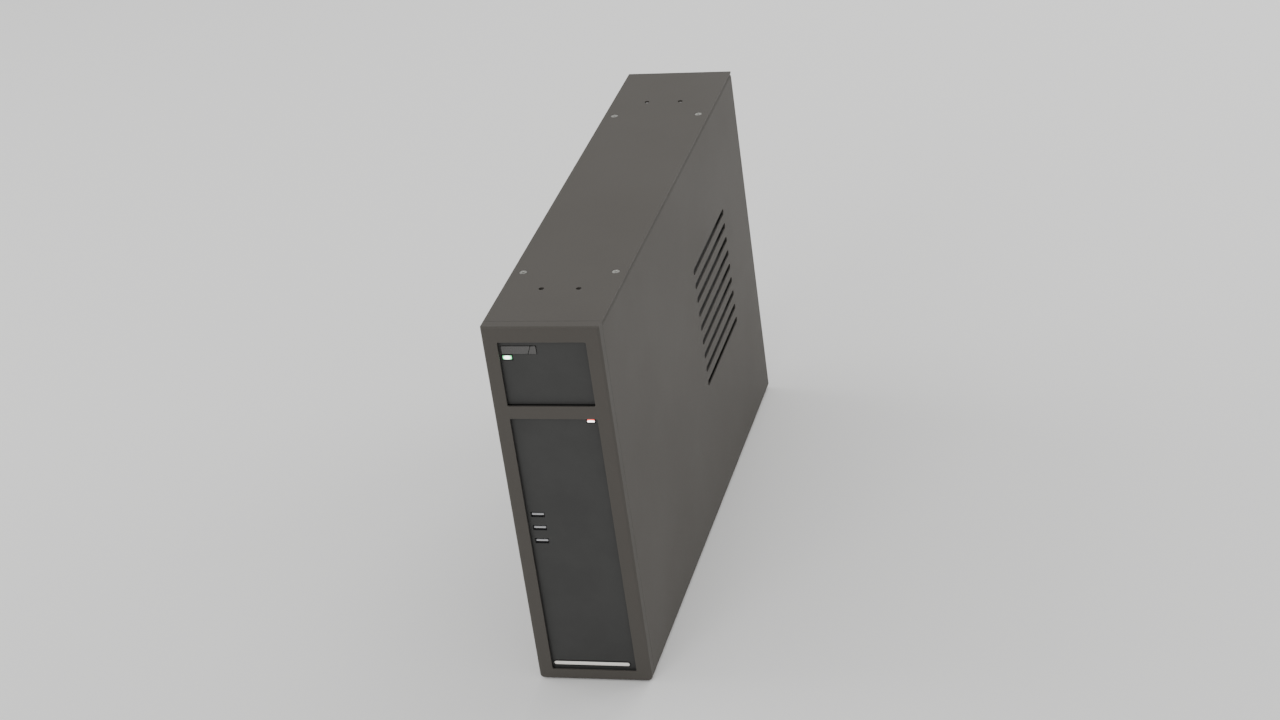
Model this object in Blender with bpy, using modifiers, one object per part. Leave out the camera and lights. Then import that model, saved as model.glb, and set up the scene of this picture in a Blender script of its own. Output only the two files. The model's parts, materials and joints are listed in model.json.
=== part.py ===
"""CPU holder: a slim steel sleeve that hangs under a desktop, and the slim computer that slides into it.

Metres, +Z up. The origin is the middle of the top plate's upper face, which is screwed against the
desktop. +X is to the right of a person facing the front frame, and +Y runs from the front to the rear.
"""

import math

import bmesh
import bpy
from mathutils import Vector

MM = 0.001
GAP = 0.3 * MM  # air left between two pieces that touch

# The sleeve
HOLDER_W = 112 * MM
HOLDER_H = 384 * MM
HOLDER_D = 576 * MM
SHEET = 1.5 * MM
BEND_R = 4 * MM  # outside radius of the sheet's bends
BEND_STEPS = 5
TOP_PLATE_T = 2 * MM
FLANGE_W = 22 * MM
DESK_HOLE_R = 2.6 * MM
DESK_HOLE_X = 18 * MM
DESK_HOLE_INSET = 76 * MM  # from the sleeve's ends

# Air slots in both side walls
SLOT_COUNT = 9
SLOT_H = 6.5 * MM
SLOT_L = 144 * MM
SLOT_PITCH = 16 * MM
SLOT_LOWEST = 140 * MM  # above the sleeve's bottom
SLOT_BACK = 101 * MM  # from the rear edge to the slots' rear ends

# Screws that hold the top plate to the sleeve's flanges
TOP_SCREW_R = 2 * MM
TOP_SCREW_HEAD_R = 3.6 * MM
TOP_SCREW_L = 10 * MM
TOP_SCREW_INSET = 110 * MM  # from the sleeve's ends
SCREW_SUNK = 0.2 * MM
NUT_R = 4.2 * MM
NUT_H = 3 * MM

# The front frame
FACE_T = 2 * MM
SKIRT = 12 * MM
SIDE_LAP = 6 * MM  # how far the frame covers the computer's edges
TOP_LAP = 2.6 * MM
BOTTOM_LAP = 3.9 * MM
CROSSBAR = 13 * MM
UPPER_WINDOW_H = 66.5 * MM
WINDOW_R = 1.5 * MM
FRONT_EDGE_R = 2.5 * MM
TAB_L = 16 * MM
TAB_W = 60 * MM

# Linings
GLIDE_T = 3 * MM
GLIDE_W = 14 * MM
GLIDE_X = 30 * MM
GLIDE_INSET = 24 * MM
PAD_CLEARANCE = 0.5 * MM
PAD_H = 34 * MM
PAD_BEHIND_TABS = 32 * MM
PAD_SHORT = 14 * MM  # from the pads' rear ends to the computer's rear
PAD_BELOW_TOP = 78 * MM  # upper row's middle, below the computer's top
PAD_ABOVE_BOTTOM = 59 * MM  # lower row's middle, above its bottom
BUMPER_T = 1.2 * MM
BUMPER_W = 4 * MM
BUMPER_INSET = 32 * MM  # from the computer's top and bottom

# The computer
PC_W = 96 * MM
PC_H = 364 * MM
PC_D = 500 * MM
FOOT_T = 2 * MM
FOOT_R = 6 * MM
FOOT_INSET = 40 * MM
FOOT_EDGE = 0.6 * MM
CHASSIS_T = 1 * MM
COVER_T = 0.8 * MM
COVER_LIP = 8 * MM
COVER_BEND_R = 1.6 * MM
TAB_SIZE = 12 * MM

# Its front
FASCIA_D = 14 * MM
FASCIA_WALL = 8 * MM
FASCIA_SHELL = 2 * MM
FASCIA_EDGE_R = 1 * MM
PANEL_T = 2.2 * MM
PANEL_RIM = 1.5 * MM
PANEL_EDGE = 0.4 * MM
PANEL_GAP = 2 * MM  # between the two panels, where the dark recess shows
PANEL_GAP_ABOVE = 0.3 * MM  # of it, above the crossbar's top edge
STRIP_H = 8 * MM
STRIP_L = 33 * MM
STRIP_LEFT = 40 * MM  # left of the middle
STRIP_BELOW = 12.1 * MM  # middle, below the computer's top
STRIP_SPLIT = 26.5 * MM  # from the strip's left end
STRIP_LEAN = 1.6 * MM  # how far the split leans each way
STRIP_PROUD = 0.8 * MM
STRIP_BODY = 3.2 * MM  # behind the panel's face
BUTTON_TRAVEL = 1.2 * MM
FIT = 0.4 * MM  # clearance round a button
LIGHT_T = 2 * MM
LIGHT_PROUD = 0.3 * MM
GREEN_LIGHT = (10.2 * MM, 5.5 * MM)
GREEN_LIGHT_X = -35.5 * MM
GREEN_LIGHT_BELOW = 19.9 * MM  # middle, below the computer's top
RED_LIGHT = (8.5 * MM, 6 * MM)
RED_LIGHT_X = 34.25 * MM
RED_LIGHT_UNDER = 3 * MM  # middle, below the crossbar
USB_COUNT = 3
USB_W = 13 * MM
USB_H = 5 * MM
USB_L = 11.5 * MM
USB_WALL = 0.4 * MM
USB_TONGUE = (11 * MM, 1.8 * MM, 9 * MM)
USB_X = -32 * MM
USB_BELOW = 187.6 * MM  # top port's middle, below the computer's top
USB_PITCH = 14.4 * MM
TRIM_L = 77 * MM
TRIM_H = 5.4 * MM
TRIM_X = -2.5 * MM
TRIM_ABOVE = 9.4 * MM  # middle, above the computer's bottom
TRIM_PROUD = 1 * MM
TRIM_SUNK = 1 * MM
BOARD_T = 1.4 * MM
BOARD_MARGIN = 9 * MM  # beyond the ports' middles: left, above and below
BOARD_RIGHT = 14 * MM

# Its inside and its rear
PSU_H = 70 * MM
PSU_L = 150 * MM
PSU_WALL = 1 * MM
PSU_FROM_LEFT = 1 * MM
REAR_RIM = 1.5 * MM  # how far the rear wall overlaps what stands behind its openings
INLET_W = 27 * MM
INLET_H = 20 * MM
INLET_BODY = 18 * MM
INLET_LIP = 1.6 * MM
INLET_FLANGE = 2.5 * MM
INLET_WALL = 1.6 * MM
INLET_MOUTH = 15 * MM
PIN_W = 2 * MM
PIN_H = 5 * MM
PIN_L = 11 * MM
PIN_PITCH = 7 * MM
PIN_DROP = 3 * MM
CPU_FAN_R = 33 * MM
FAN_T = 10 * MM
FAN_BLADES = 7
FAN_CLEARANCE = 2 * MM
FAN_HUB = 0.38  # of the fan's radius
FAN_BLADE_W = 0.42  # of the fan's radius
FAN_BLADE_T = 1.2 * MM
FAN_PITCH = math.radians(32)
COOLER_SIZE = 70 * MM
COOLER_T = 30 * MM
COOLER_PLATE = 6 * MM
FIN_PITCH = 5 * MM
FIN_CHANNEL = 3.4 * MM
GRILLE_SLOT = 3 * MM
GRILLE_PITCH = 5.5 * MM
MAIN_BOARD_L = 244 * MM
BOARD_ABOVE = 46 * MM  # from the computer's bottom to the board
MAIN_BOARD_OFF = 6 * MM  # from the chassis wall
MAIN_BOARD_T = 1.6 * MM
BOARD_BELOW_PSU = 6 * MM
BOARD_OFF_REAR = 4 * MM
CPU_T = 3 * MM  # the processor and its socket, under the cooler
CPU_INSET = 90 * MM  # the processor's middle, from the board's rear and top edges
MEMORY = (30 * MM, 4 * MM, 133 * MM)
MEMORY_BEHIND = 60 * MM  # the board's front edge
MEMORY_BELOW = 17 * MM  # the board's top edge
SHIELD_W = 44 * MM
SHIELD_H = 156 * MM
SHIELD_T = 0.8 * MM
SHIELD_PAST_BOARD = 2 * MM
PORT_L = 18 * MM
PORT_WALL = 0.8 * MM
PORT_BACK_WALL = 3 * MM
REAR_SOCKETS = (  # name, height, width, and its middle below the plate's top
    ("video_socket", 31 * MM, 12.5 * MM, 22 * MM),
    ("rear_usb_upper", 14 * MM, 16 * MM, 56 * MM),
    ("rear_usb_lower", 14 * MM, 16 * MM, 84 * MM),
    ("network_socket", 16 * MM, 14 * MM, 116 * MM),
)
SLOT_COVER_COUNT = 3
SLOT_COVER_L = 78 * MM
SLOT_COVER_W = 18.4 * MM
SLOT_COVER_PITCH = 20.32 * MM
SLOT_COVER_T = 0.9 * MM
COVERS_BELOW_SHIELD = 8 * MM
DRIVE = (26 * MM, 101 * MM, 147 * MM)
DRIVE_OFF = (14 * MM, 10 * MM, 12 * MM)  # from the case's left, front and bottom walls
THUMB_R = 5 * MM
THUMB_H = 6 * MM
THUMB_SHANK_R = 1.75 * MM
THUMB_SHANK_L = 6 * MM
THUMB_INSET = 30 * MM  # from the case's bottom, and from the connector plate's top
THUMB_EDGE = 0.6 * MM
VENT_MARGIN = 8 * MM  # round the rear wall's air slots
VENT_RIGHT = 4 * MM  # from the slots to the cover's tabs
TONGUE_L = 8 * MM  # how far a tab reaches back along the cover

# Planes worked out from the values above
FRONT = -HOLDER_D / 2
REAR = HOLDER_D / 2
HALF_W = HOLDER_W / 2
INNER_X = HALF_W - SHEET
FLOOR = -HOLDER_H + SHEET
FLANGE_TOP = -TOP_PLATE_T - GAP
FLANGE_UNDER = FLANGE_TOP - SHEET
FRAME_REAR = FRONT + SKIRT
SHELL_FRONT = FRAME_REAR + GAP
GLIDE_TOP = FLOOR + GAP + GLIDE_T
PC_BOTTOM = GLIDE_TOP + GAP + FOOT_T
PC_TOP = PC_BOTTOM + PC_H
PC_HALF_W = PC_W / 2
PC_FRONT = FRONT + FACE_T + BUMPER_T + 2 * GAP
PC_REAR = PC_FRONT + PC_D
CHASSIS_FRONT = PC_FRONT + FASCIA_D + GAP
CHASSIS_RIGHT = PC_HALF_W - COVER_T - GAP
PANEL_BACK = PC_FRONT + PANEL_T
WALL_BACK = PC_FRONT + FASCIA_WALL
WINDOW_TOP = PC_TOP - TOP_LAP
WINDOW_BOTTOM = PC_BOTTOM + BOTTOM_LAP
CROSSBAR_TOP = WINDOW_TOP - UPPER_WINDOW_H
LOWER_WINDOW_TOP = CROSSBAR_TOP - CROSSBAR
WINDOW_HALF_W = PC_HALF_W - SIDE_LAP
PAD_HEIGHTS = (PC_TOP - PAD_BELOW_TOP, PC_BOTTOM + PAD_ABOVE_BOTTOM)
STRIP_Z = PC_TOP - STRIP_BELOW
GREEN_LIGHT_AT = (GREEN_LIGHT_X, PC_TOP - GREEN_LIGHT_BELOW)
RED_LIGHT_AT = (RED_LIGHT_X, LOWER_WINDOW_TOP - RED_LIGHT_UNDER)
TRIM_Z = PC_BOTTOM + TRIM_ABOVE
PSU_TOP = PC_TOP - CHASSIS_T - GAP
PSU_BOTTOM = PSU_TOP - PSU_H
PSU_LEFT = -PC_HALF_W + CHASSIS_T + PSU_FROM_LEFT
PSU_RIGHT = CHASSIS_RIGHT - COVER_LIP
PSU_REAR = PC_REAR - CHASSIS_T - GAP
PSU_MIDDLE_Z = (PSU_TOP + PSU_BOTTOM) / 2
INLET_X = PSU_LEFT + REAR_RIM + 2 * GAP + INLET_FLANGE + INLET_W / 2
INLET_RIGHT = INLET_X + INLET_W / 2 + INLET_FLANGE
PSU_FAN_X = (INLET_RIGHT + PSU_RIGHT - PSU_WALL) / 2
PSU_FAN_R = PSU_FAN_X - INLET_RIGHT - FAN_CLEARANCE
BOARD_X = -PC_HALF_W + CHASSIS_T + MAIN_BOARD_OFF
BOARD_TOP = PSU_BOTTOM - BOARD_BELOW_PSU
BOARD_BOTTOM = PC_BOTTOM + BOARD_ABOVE
BOARD_REAR = PC_REAR - CHASSIS_T - BOARD_OFF_REAR
SHIELD_LEFT = BOARD_X - SHIELD_PAST_BOARD
SHIELD_TOP = BOARD_TOP
SHIELD_BOTTOM = SHIELD_TOP - SHIELD_H
SHIELD_REAR = PC_REAR - CHASSIS_T - GAP
SLOT_COVER_X = SHIELD_LEFT + SLOT_COVER_L / 2
SLOT_COVER_TOP = SHIELD_BOTTOM - COVERS_BELOW_SHIELD
CPU_FAN_Y = BOARD_REAR - CPU_INSET
CPU_FAN_Z = BOARD_TOP - CPU_INSET
COOLER_BASE = BOARD_X + MAIN_BOARD_T + CPU_T

for old in list(bpy.data.objects):
    bpy.data.objects.remove(old, do_unlink=True)

PARTS = bpy.data.collections.new("cpu_holder")
CUTTERS = bpy.data.collections.new("cutters")
bpy.context.scene.collection.children.link(PARTS)
bpy.context.scene.collection.children.link(CUTTERS)


def finish(name, colour, roughness, metallic=0.0):
    """A Principled material; colour is given as 0 to 255 display values."""
    made = bpy.data.materials.new(name)
    made.use_nodes = True
    shader = made.node_tree.nodes["Principled BSDF"]
    linear = [(value / 255) ** 2.2 for value in colour]
    shader.inputs["Base Color"].default_value = (*linear, 1.0)
    shader.inputs["Roughness"].default_value = roughness
    shader.inputs["Metallic"].default_value = metallic
    return made


SLEEVE_PAINT = finish("sleeve_paint", (86, 84, 79), 0.55, 0.1)
ZINC = finish("zinc", (176, 176, 172), 0.35, 0.9)
FOAM = finish("foam", (28, 28, 28), 0.95)
GLIDE_PLASTIC = finish("glide_plastic", (206, 204, 198), 0.45)
FASCIA_PLASTIC = finish("fascia_plastic", (46, 46, 45), 0.5)
PANEL_PLASTIC = finish("panel_plastic", (64, 64, 63), 0.6)
PALE_PLASTIC = finish("pale_plastic", (226, 223, 216), 0.35)
BUTTON_PLASTIC = finish("button_plastic", (96, 95, 93), 0.45)
GREEN_LENS = finish("green_lens", (226, 253, 234), 0.2)
RED_LENS = finish("red_lens", (250, 225, 220), 0.2)
STEEL = finish("steel", (150, 150, 148), 0.4, 0.9)
RUBBER = finish("rubber", (30, 30, 30), 0.9)
BLACK_PLASTIC = finish("black_plastic", (24, 24, 25), 0.5)
CIRCUIT_BOARD = finish("circuit_board", (26, 70, 44), 0.6)
ALUMINIUM = finish("aluminium", (168, 170, 172), 0.4, 0.9)
CASE_PAINT = finish("case_paint", (38, 38, 39), 0.5, 0.2)


# Ways of making a solid


def added(name, mesh, place, surface, guide=False):
    """A new object for a mesh: a part, or with guide set a cutter that is left out of the model."""
    obj = bpy.data.objects.new(name, mesh)
    obj.location = place
    if guide:
        CUTTERS.objects.link(obj)
        obj.hide_render = True
        obj.display_type = "WIRE"
    else:
        PARTS.objects.link(obj)
        mesh.materials.append(surface)
    return obj


def from_bmesh(bm, name, place, surface, guide=False):
    mesh = bpy.data.meshes.new(name)
    bm.to_mesh(mesh)
    bm.free()
    return added(name, mesh, place, surface, guide)


def box(name, low, high, surface=None, edge=0.0, guide=False):
    """A block between two opposite corners, with its edges rounded by the radius edge."""
    low = Vector(low)
    high = Vector(high)
    bm = bmesh.new()
    bmesh.ops.create_cube(bm, size=1.0)
    bmesh.ops.scale(bm, vec=high - low, verts=bm.verts)
    if edge:
        bmesh.ops.bevel(bm, geom=bm.edges[:], offset=edge, segments=2, profile=0.5, affect="EDGES")
    return from_bmesh(bm, name, (low + high) / 2, surface, guide)


def boxes(name, corners):
    """Several separate blocks as one cutter. corners holds a (low, high) pair for each."""
    bm = bmesh.new()
    for low, high in corners:
        low = Vector(low)
        high = Vector(high)
        cube = bmesh.ops.create_cube(bm, size=1.0)["verts"]
        bmesh.ops.scale(bm, vec=high - low, verts=cube)
        bmesh.ops.translate(bm, vec=(low + high) / 2, verts=cube)
    return from_bmesh(bm, name, (0, 0, 0), None, guide=True)


FACING = {
    "X": (math.pi / 2, 0, math.pi / 2),
    "Y": (math.pi / 2, 0, 0),
    "Z": (0, 0, 0),
}


def plate(name, outlines, thickness, centre, facing, surface=None, guide=False):
    """Flat closed outlines given a thickness, square to the world axis named by facing.

    An outline's two coordinates run along the other two axes, in the order X, Y, Z.
    """
    curve = bpy.data.curves.new(name, "CURVE")
    curve.dimensions = "2D"
    curve.fill_mode = "BOTH"
    curve.extrude = thickness / 2
    for outline in outlines:
        spline = curve.splines.new("POLY")
        spline.points.add(len(outline) - 1)
        for point, (across, up) in zip(spline.points, outline):
            point.co = (across, up, 0, 1)
        spline.use_cyclic_u = True
    drawn = bpy.data.objects.new(name + "_outline", curve)
    drawn.location = centre
    drawn.rotation_euler = FACING[facing]
    PARTS.objects.link(drawn)
    bpy.context.view_layer.update()
    mesh = bpy.data.meshes.new_from_object(drawn.evaluated_get(bpy.context.evaluated_depsgraph_get()))
    matrix = drawn.matrix_world.copy()
    bpy.data.objects.remove(drawn, do_unlink=True)
    bm = bmesh.new()
    bm.from_mesh(mesh)
    bmesh.ops.remove_doubles(bm, verts=bm.verts, dist=0.001 * MM)
    bmesh.ops.recalc_face_normals(bm, faces=bm.faces)
    bm.to_mesh(mesh)
    bm.free()
    mesh.materials.clear()
    obj = added(name, mesh, (0, 0, 0), surface, guide)
    obj.matrix_world = matrix
    return obj


def rounded(width, height, radius, steps=4):
    """The outline of a rectangle with round corners, about the middle."""
    points = []
    for quarter in range(4):
        side_x = 1 if quarter in (0, 3) else -1
        side_y = 1 if quarter < 2 else -1
        for step in range(steps + 1):
            turn = (quarter + step / steps) * math.pi / 2
            x = side_x * (width / 2 - radius) + radius * math.cos(turn)
            y = side_y * (height / 2 - radius) + radius * math.sin(turn)
            points.append((x, y))
    return points


def stadium(length, height, steps=8):
    """The outline of a slot with half-round ends. Its first coordinate runs along it."""
    points = []
    for end in (1, -1):
        for step in range(steps + 1):
            turn = math.pi * (step / steps - 0.5)
            reach = length / 2 - height / 2 + height / 2 * math.cos(turn)
            points.append((end * reach, end * height / 2 * math.sin(turn)))
    return points


def bent_sheet(name, profile, front, rear, thickness, radius, surface):
    """A sheet folded along a profile of (x, z) points, which is the outside of the finished piece."""
    bm = bmesh.new()
    points = [bm.verts.new((x, front, z)) for x, z in profile]
    edges = [bm.edges.new(pair) for pair in zip(points, points[1:])]
    swept = bmesh.ops.extrude_edge_only(bm, edges=edges)["geom"]
    moved = [item for item in swept if isinstance(item, bmesh.types.BMVert)]
    bmesh.ops.translate(bm, vec=(0, rear - front, 0), verts=moved)
    obj = from_bmesh(bm, name, (0, 0, 0), surface)
    bend = obj.modifiers.new("bends", "BEVEL")
    bend.width = radius
    bend.segments = BEND_STEPS
    bend.limit_method = "ANGLE"
    bend.angle_limit = math.radians(30)
    skin = obj.modifiers.new("thickness", "SOLIDIFY")
    skin.thickness = thickness
    skin.offset = -1
    skin.use_even_offset = True
    return obj


def turned(name, profile, place, tilt, surface=None, steps=20, guide=False):
    """A turned piece. profile holds (radius, height) points down its outer side, from axis to axis."""
    bm = bmesh.new()
    points = [bm.verts.new((radius, 0, height)) for radius, height in profile]
    for pair in zip(points, points[1:]):
        bm.edges.new(pair)
    if profile[0][0] > 0:
        bm.edges.new((points[-1], points[0]))
    obj = from_bmesh(bm, name, place, surface, guide)
    obj.rotation_euler = tilt
    spin = obj.modifiers.new("spin", "SCREW")
    spin.axis = "Z"
    spin.angle = 2 * math.pi
    spin.steps = steps
    spin.render_steps = steps
    spin.use_merge_vertices = True
    spin.merge_threshold = 0.001 * MM
    spin.use_smooth_shade = True
    return obj


def boolean(obj, other, operation):
    step = obj.modifiers.new(operation.lower(), "BOOLEAN")
    step.operation = operation
    step.solver = "EXACT"
    step.object = other


def cut(obj, *cutters):
    for cutter in cutters:
        boolean(obj, cutter, "DIFFERENCE")


def joined(obj, *others):
    for other in others:
        boolean(obj, other, "UNION")


def carried_by(empty, pieces):
    """Parents pieces to an empty and leaves them where they are."""
    for piece in pieces:
        piece.parent = empty
        piece.location = piece.location - empty.location


def pivot(name, place, parent=None):
    """An empty on a joint's axis."""
    empty = bpy.data.objects.new(name, None)
    empty.empty_display_size = 0.02
    empty.location = place
    PARTS.objects.link(empty)
    if parent:
        carried_by(parent, [empty])
    return empty


# The sleeve


def shell_wrap():
    """Floor, both sides and the two top flanges, folded from one sheet, with air slots in the sides."""
    inside = HALF_W - FLANGE_W
    profile = [
        (-inside, FLANGE_TOP),
        (-HALF_W, FLANGE_TOP),
        (-HALF_W, -HOLDER_H),
        (HALF_W, -HOLDER_H),
        (HALF_W, FLANGE_TOP),
        (inside, FLANGE_TOP),
    ]
    shell = bent_sheet("shell_wrap", profile, SHELL_FRONT, REAR, SHEET, BEND_R, SLEEVE_PAINT)
    middle_y = REAR - SLOT_BACK - SLOT_L / 2
    for row in range(SLOT_COUNT):
        height = -HOLDER_H + SLOT_LOWEST + row * SLOT_PITCH
        place = (0, middle_y, height)
        slot = plate(f"slot_{row + 1}", [stadium(SLOT_L, SLOT_H)], 2 * HOLDER_W, place, "X", guide=True)
        cut(shell, slot)
    for x, y in top_screw_places():
        bore = shank(TOP_SCREW_R + GAP, NUT_H)
        hole = turned("flange_hole", bore, (x, y, FLANGE_UNDER), (0, 0, 0), guide=True)
        cut(shell, hole)
    return shell


def shank(radius, reach):
    """A plain cylinder's profile, reach above and below its origin."""
    return [(0, reach), (radius, reach), (radius, -reach), (0, -reach)]


def top_screw_places():
    x = HALF_W - FLANGE_W / 2
    y = HOLDER_D / 2 - TOP_SCREW_INSET
    return [(side * x, end * y) for side in (-1, 1) for end in (-1, 1)]


def head_profile(extra):
    """The flat-headed screw's outer side, or its seat when extra clearance is added."""
    top = -SCREW_SUNK
    cone = TOP_SCREW_HEAD_R - TOP_SCREW_R
    return [
        (0, top),
        (TOP_SCREW_HEAD_R + extra, top),
        (TOP_SCREW_R + extra, top - cone),
        (TOP_SCREW_R + extra, -TOP_SCREW_L - extra),
        (0, -TOP_SCREW_L - extra),
    ]


def top_plate():
    """The plate against the desktop: countersunk for its own screws, drilled for the desktop's."""
    low = (-HALF_W, SHELL_FRONT, -TOP_PLATE_T)
    made = box("top_plate", low, (HALF_W, REAR, 0), SLEEVE_PAINT)
    for x, y in top_screw_places():
        seat = head_profile(GAP)
        seat[0:2] = [(0, GAP), (TOP_SCREW_HEAD_R + GAP, GAP), seat[1]]
        cut(made, turned("screw_seat", seat, (x, y, 0), (0, 0, 0), guide=True))
    y = HOLDER_D / 2 - DESK_HOLE_INSET
    for side in (-1, 1):
        for end in (-1, 1):
            place = (side * DESK_HOLE_X, end * y, -TOP_PLATE_T / 2)
            cut(made, turned("desk_hole", shank(DESK_HOLE_R, TOP_PLATE_T), place, (0, 0, 0), guide=True))
    return made


def top_fasteners():
    made = []
    nut_top = FLANGE_UNDER - GAP
    for number, (x, y) in enumerate(top_screw_places(), 1):
        made.append(turned(f"top_screw_{number}", head_profile(0), (x, y, 0), (0, 0, 0), ZINC))
        ring = [
            (TOP_SCREW_R + GAP, 0),
            (NUT_R, 0),
            (NUT_R, -NUT_H),
            (TOP_SCREW_R + GAP, -NUT_H),
        ]
        made.append(turned(f"clinch_nut_{number}", ring, (x, y, nut_top), (0, 0, 0), ZINC))
    return made


def frame_outline(inset):
    """The frame's outline: square at the desktop, and round at the floor to match the shell's bends."""
    radius = BEND_R - inset
    half = HALF_W - inset
    bottom = -HOLDER_H + inset
    points = [(half, -inset), (-half, -inset)]
    for side, start in ((-1, math.pi), (1, 1.5 * math.pi)):
        for step in range(BEND_STEPS + 1):
            turn = start + step / BEND_STEPS * math.pi / 2
            x = side * (half - radius) + radius * math.cos(turn)
            points.append((x, bottom + radius + radius * math.sin(turn)))
    return points


def front_frame():
    """A pressed cap with two windows. Its tabs reach back inside the shell, where they are spot welded."""
    middle = (0, (FRONT + FRAME_REAR) / 2, 0)
    frame = plate("front_frame", [frame_outline(0)], SKIRT, middle, "Y", SLEEVE_PAINT)
    soften_front(frame, FRONT_EDGE_R)
    hollow_middle = (0, FRONT + FACE_T + SKIRT, 0)
    hollow = plate("frame_hollow", [frame_outline(SHEET)], 2 * SKIRT, hollow_middle, "Y", guide=True)
    cut(frame, hollow)
    windows = (
        (WINDOW_TOP, CROSSBAR_TOP),
        (LOWER_WINDOW_TOP, WINDOW_BOTTOM),
    )
    for top, bottom in windows:
        outline = rounded(2 * WINDOW_HALF_W, top - bottom, WINDOW_R)
        place = (0, FRONT, (top + bottom) / 2)
        cut(frame, plate("window", [outline], 4 * FACE_T, place, "Y", guide=True))
    tab_front = FRAME_REAR - SKIRT / 2
    tab_rear = SHELL_FRONT + TAB_L
    inner = INNER_X - GAP
    for side in (-1, 1):
        for height in PAD_HEIGHTS:
            edges = sorted((side * inner, side * (inner - SHEET)))
            low = (edges[0], tab_front, height - TAB_W / 2)
            high = (edges[1], tab_rear, height + TAB_W / 2)
            joined(frame, box("side_tab", low, high, guide=True))
            bridge = sorted((side * (HALF_W - SHEET / 2), side * (inner - SHEET / 2)))
            low = (bridge[0], tab_front, height - TAB_W / 2)
            high = (bridge[1], FRAME_REAR, height + TAB_W / 2)
            joined(frame, box("tab_bridge", low, high, guide=True))
    return frame


def soften_front(obj, radius):
    """Rounds the edges of a plate's front outline."""
    bm = bmesh.new()
    bm.from_mesh(obj.data)
    foremost = max(vert.co.z for vert in bm.verts)
    ring = [
        edge
        for edge in bm.edges
        if all(vert.co.z > foremost - GAP for vert in edge.verts) and edge.calc_face_angle(0) > 1
    ]
    bmesh.ops.bevel(bm, geom=ring, offset=radius, segments=3, profile=0.5, affect="EDGES")
    bm.to_mesh(obj.data)
    bm.free()


# Linings


def linings():
    """Floor glides and side pads that guide the computer, and front bumpers that it stops against."""
    made = []
    pad_outside = INNER_X - GAP
    pad_inside = PC_HALF_W + PAD_CLEARANCE
    pad_front = SHELL_FRONT + TAB_L + PAD_BEHIND_TABS
    bumper_front = FRONT + FACE_T + GAP
    bumper_x = (WINDOW_HALF_W + PC_HALF_W) / 2
    for side, hand in ((-1, "left"), (1, "right")):
        x = side * GLIDE_X
        low = (x - GLIDE_W / 2, SHELL_FRONT + TAB_L + GLIDE_INSET, FLOOR + GAP)
        high = (x + GLIDE_W / 2, REAR - GLIDE_INSET, GLIDE_TOP)
        made.append(box(f"floor_glide_{hand}", low, high, GLIDE_PLASTIC, edge=0.6 * MM))
        for height, level in zip(PAD_HEIGHTS, ("upper", "lower")):
            edges = sorted((side * pad_outside, side * pad_inside))
            low = (edges[0], pad_front, height - PAD_H / 2)
            high = (edges[1], PC_REAR - PAD_SHORT, height + PAD_H / 2)
            made.append(box(f"side_pad_{hand}_{level}", low, high, FOAM, edge=0.5 * MM))
        x = side * bumper_x
        low = (x - BUMPER_W / 2, bumper_front, PC_BOTTOM + BUMPER_INSET)
        high = (x + BUMPER_W / 2, bumper_front + BUMPER_T, PC_TOP - BUMPER_INSET)
        made.append(box(f"front_bumper_{hand}", low, high, FOAM))
    return made


# The computer's front


def panel_spans():
    """Top and bottom of the two dark panels, whose gap shows just above the crossbar."""
    top = PC_TOP - PANEL_RIM
    bottom = PC_BOTTOM + PANEL_RIM
    gap_top = CROSSBAR_TOP + PANEL_GAP_ABOVE
    return (
        (top, gap_top),
        (gap_top - PANEL_GAP, bottom),
    )


def strip_outlines():
    """The two buttons of the grey strip, whose ends meet along a leaning gap."""
    left = -STRIP_LEFT
    split = left + STRIP_SPLIT
    right = left + STRIP_L
    half = STRIP_H / 2
    near = split - FIT / 2
    far = split + FIT / 2
    power = [
        (left, -half),
        (near - STRIP_LEAN, -half),
        (near + STRIP_LEAN, half),
        (left, half),
    ]
    reset = [
        (far - STRIP_LEAN, -half),
        (right, -half),
        (right, half),
        (far + STRIP_LEAN, half),
    ]
    return power, reset


def strip_pocket():
    """The pocket that both buttons move in, deep enough for their travel."""
    left = -STRIP_LEFT - FIT
    right = -STRIP_LEFT + STRIP_L + FIT
    half = STRIP_H / 2 + FIT
    low = (left, PC_FRONT - FASCIA_D, STRIP_Z - half)
    high = (right, PC_FRONT + STRIP_BODY + BUTTON_TRAVEL + GAP, STRIP_Z + half)
    return box("strip_pocket", low, high, guide=True)


def light_hole(size, at, deep):
    x, z = at
    half_w = size[0] / 2 + GAP
    half_h = size[1] / 2 + GAP
    low = (x - half_w, PC_FRONT - FASCIA_D, z - half_h)
    high = (x + half_w, PC_FRONT + deep, z + half_h)
    return box("light_hole", low, high, guide=True)


def usb_heights():
    return [PC_TOP - USB_BELOW - number * USB_PITCH for number in range(USB_COUNT)]


def usb_holes():
    corners = []
    for z in usb_heights():
        low = (USB_X - USB_W / 2 - GAP, PC_FRONT - FASCIA_D, z - USB_H / 2 - GAP)
        high = (USB_X + USB_W / 2 + GAP, PC_FRONT + FASCIA_D, z + USB_H / 2 + GAP)
        corners.append((low, high))
    return boxes("usb_holes", corners)


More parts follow.
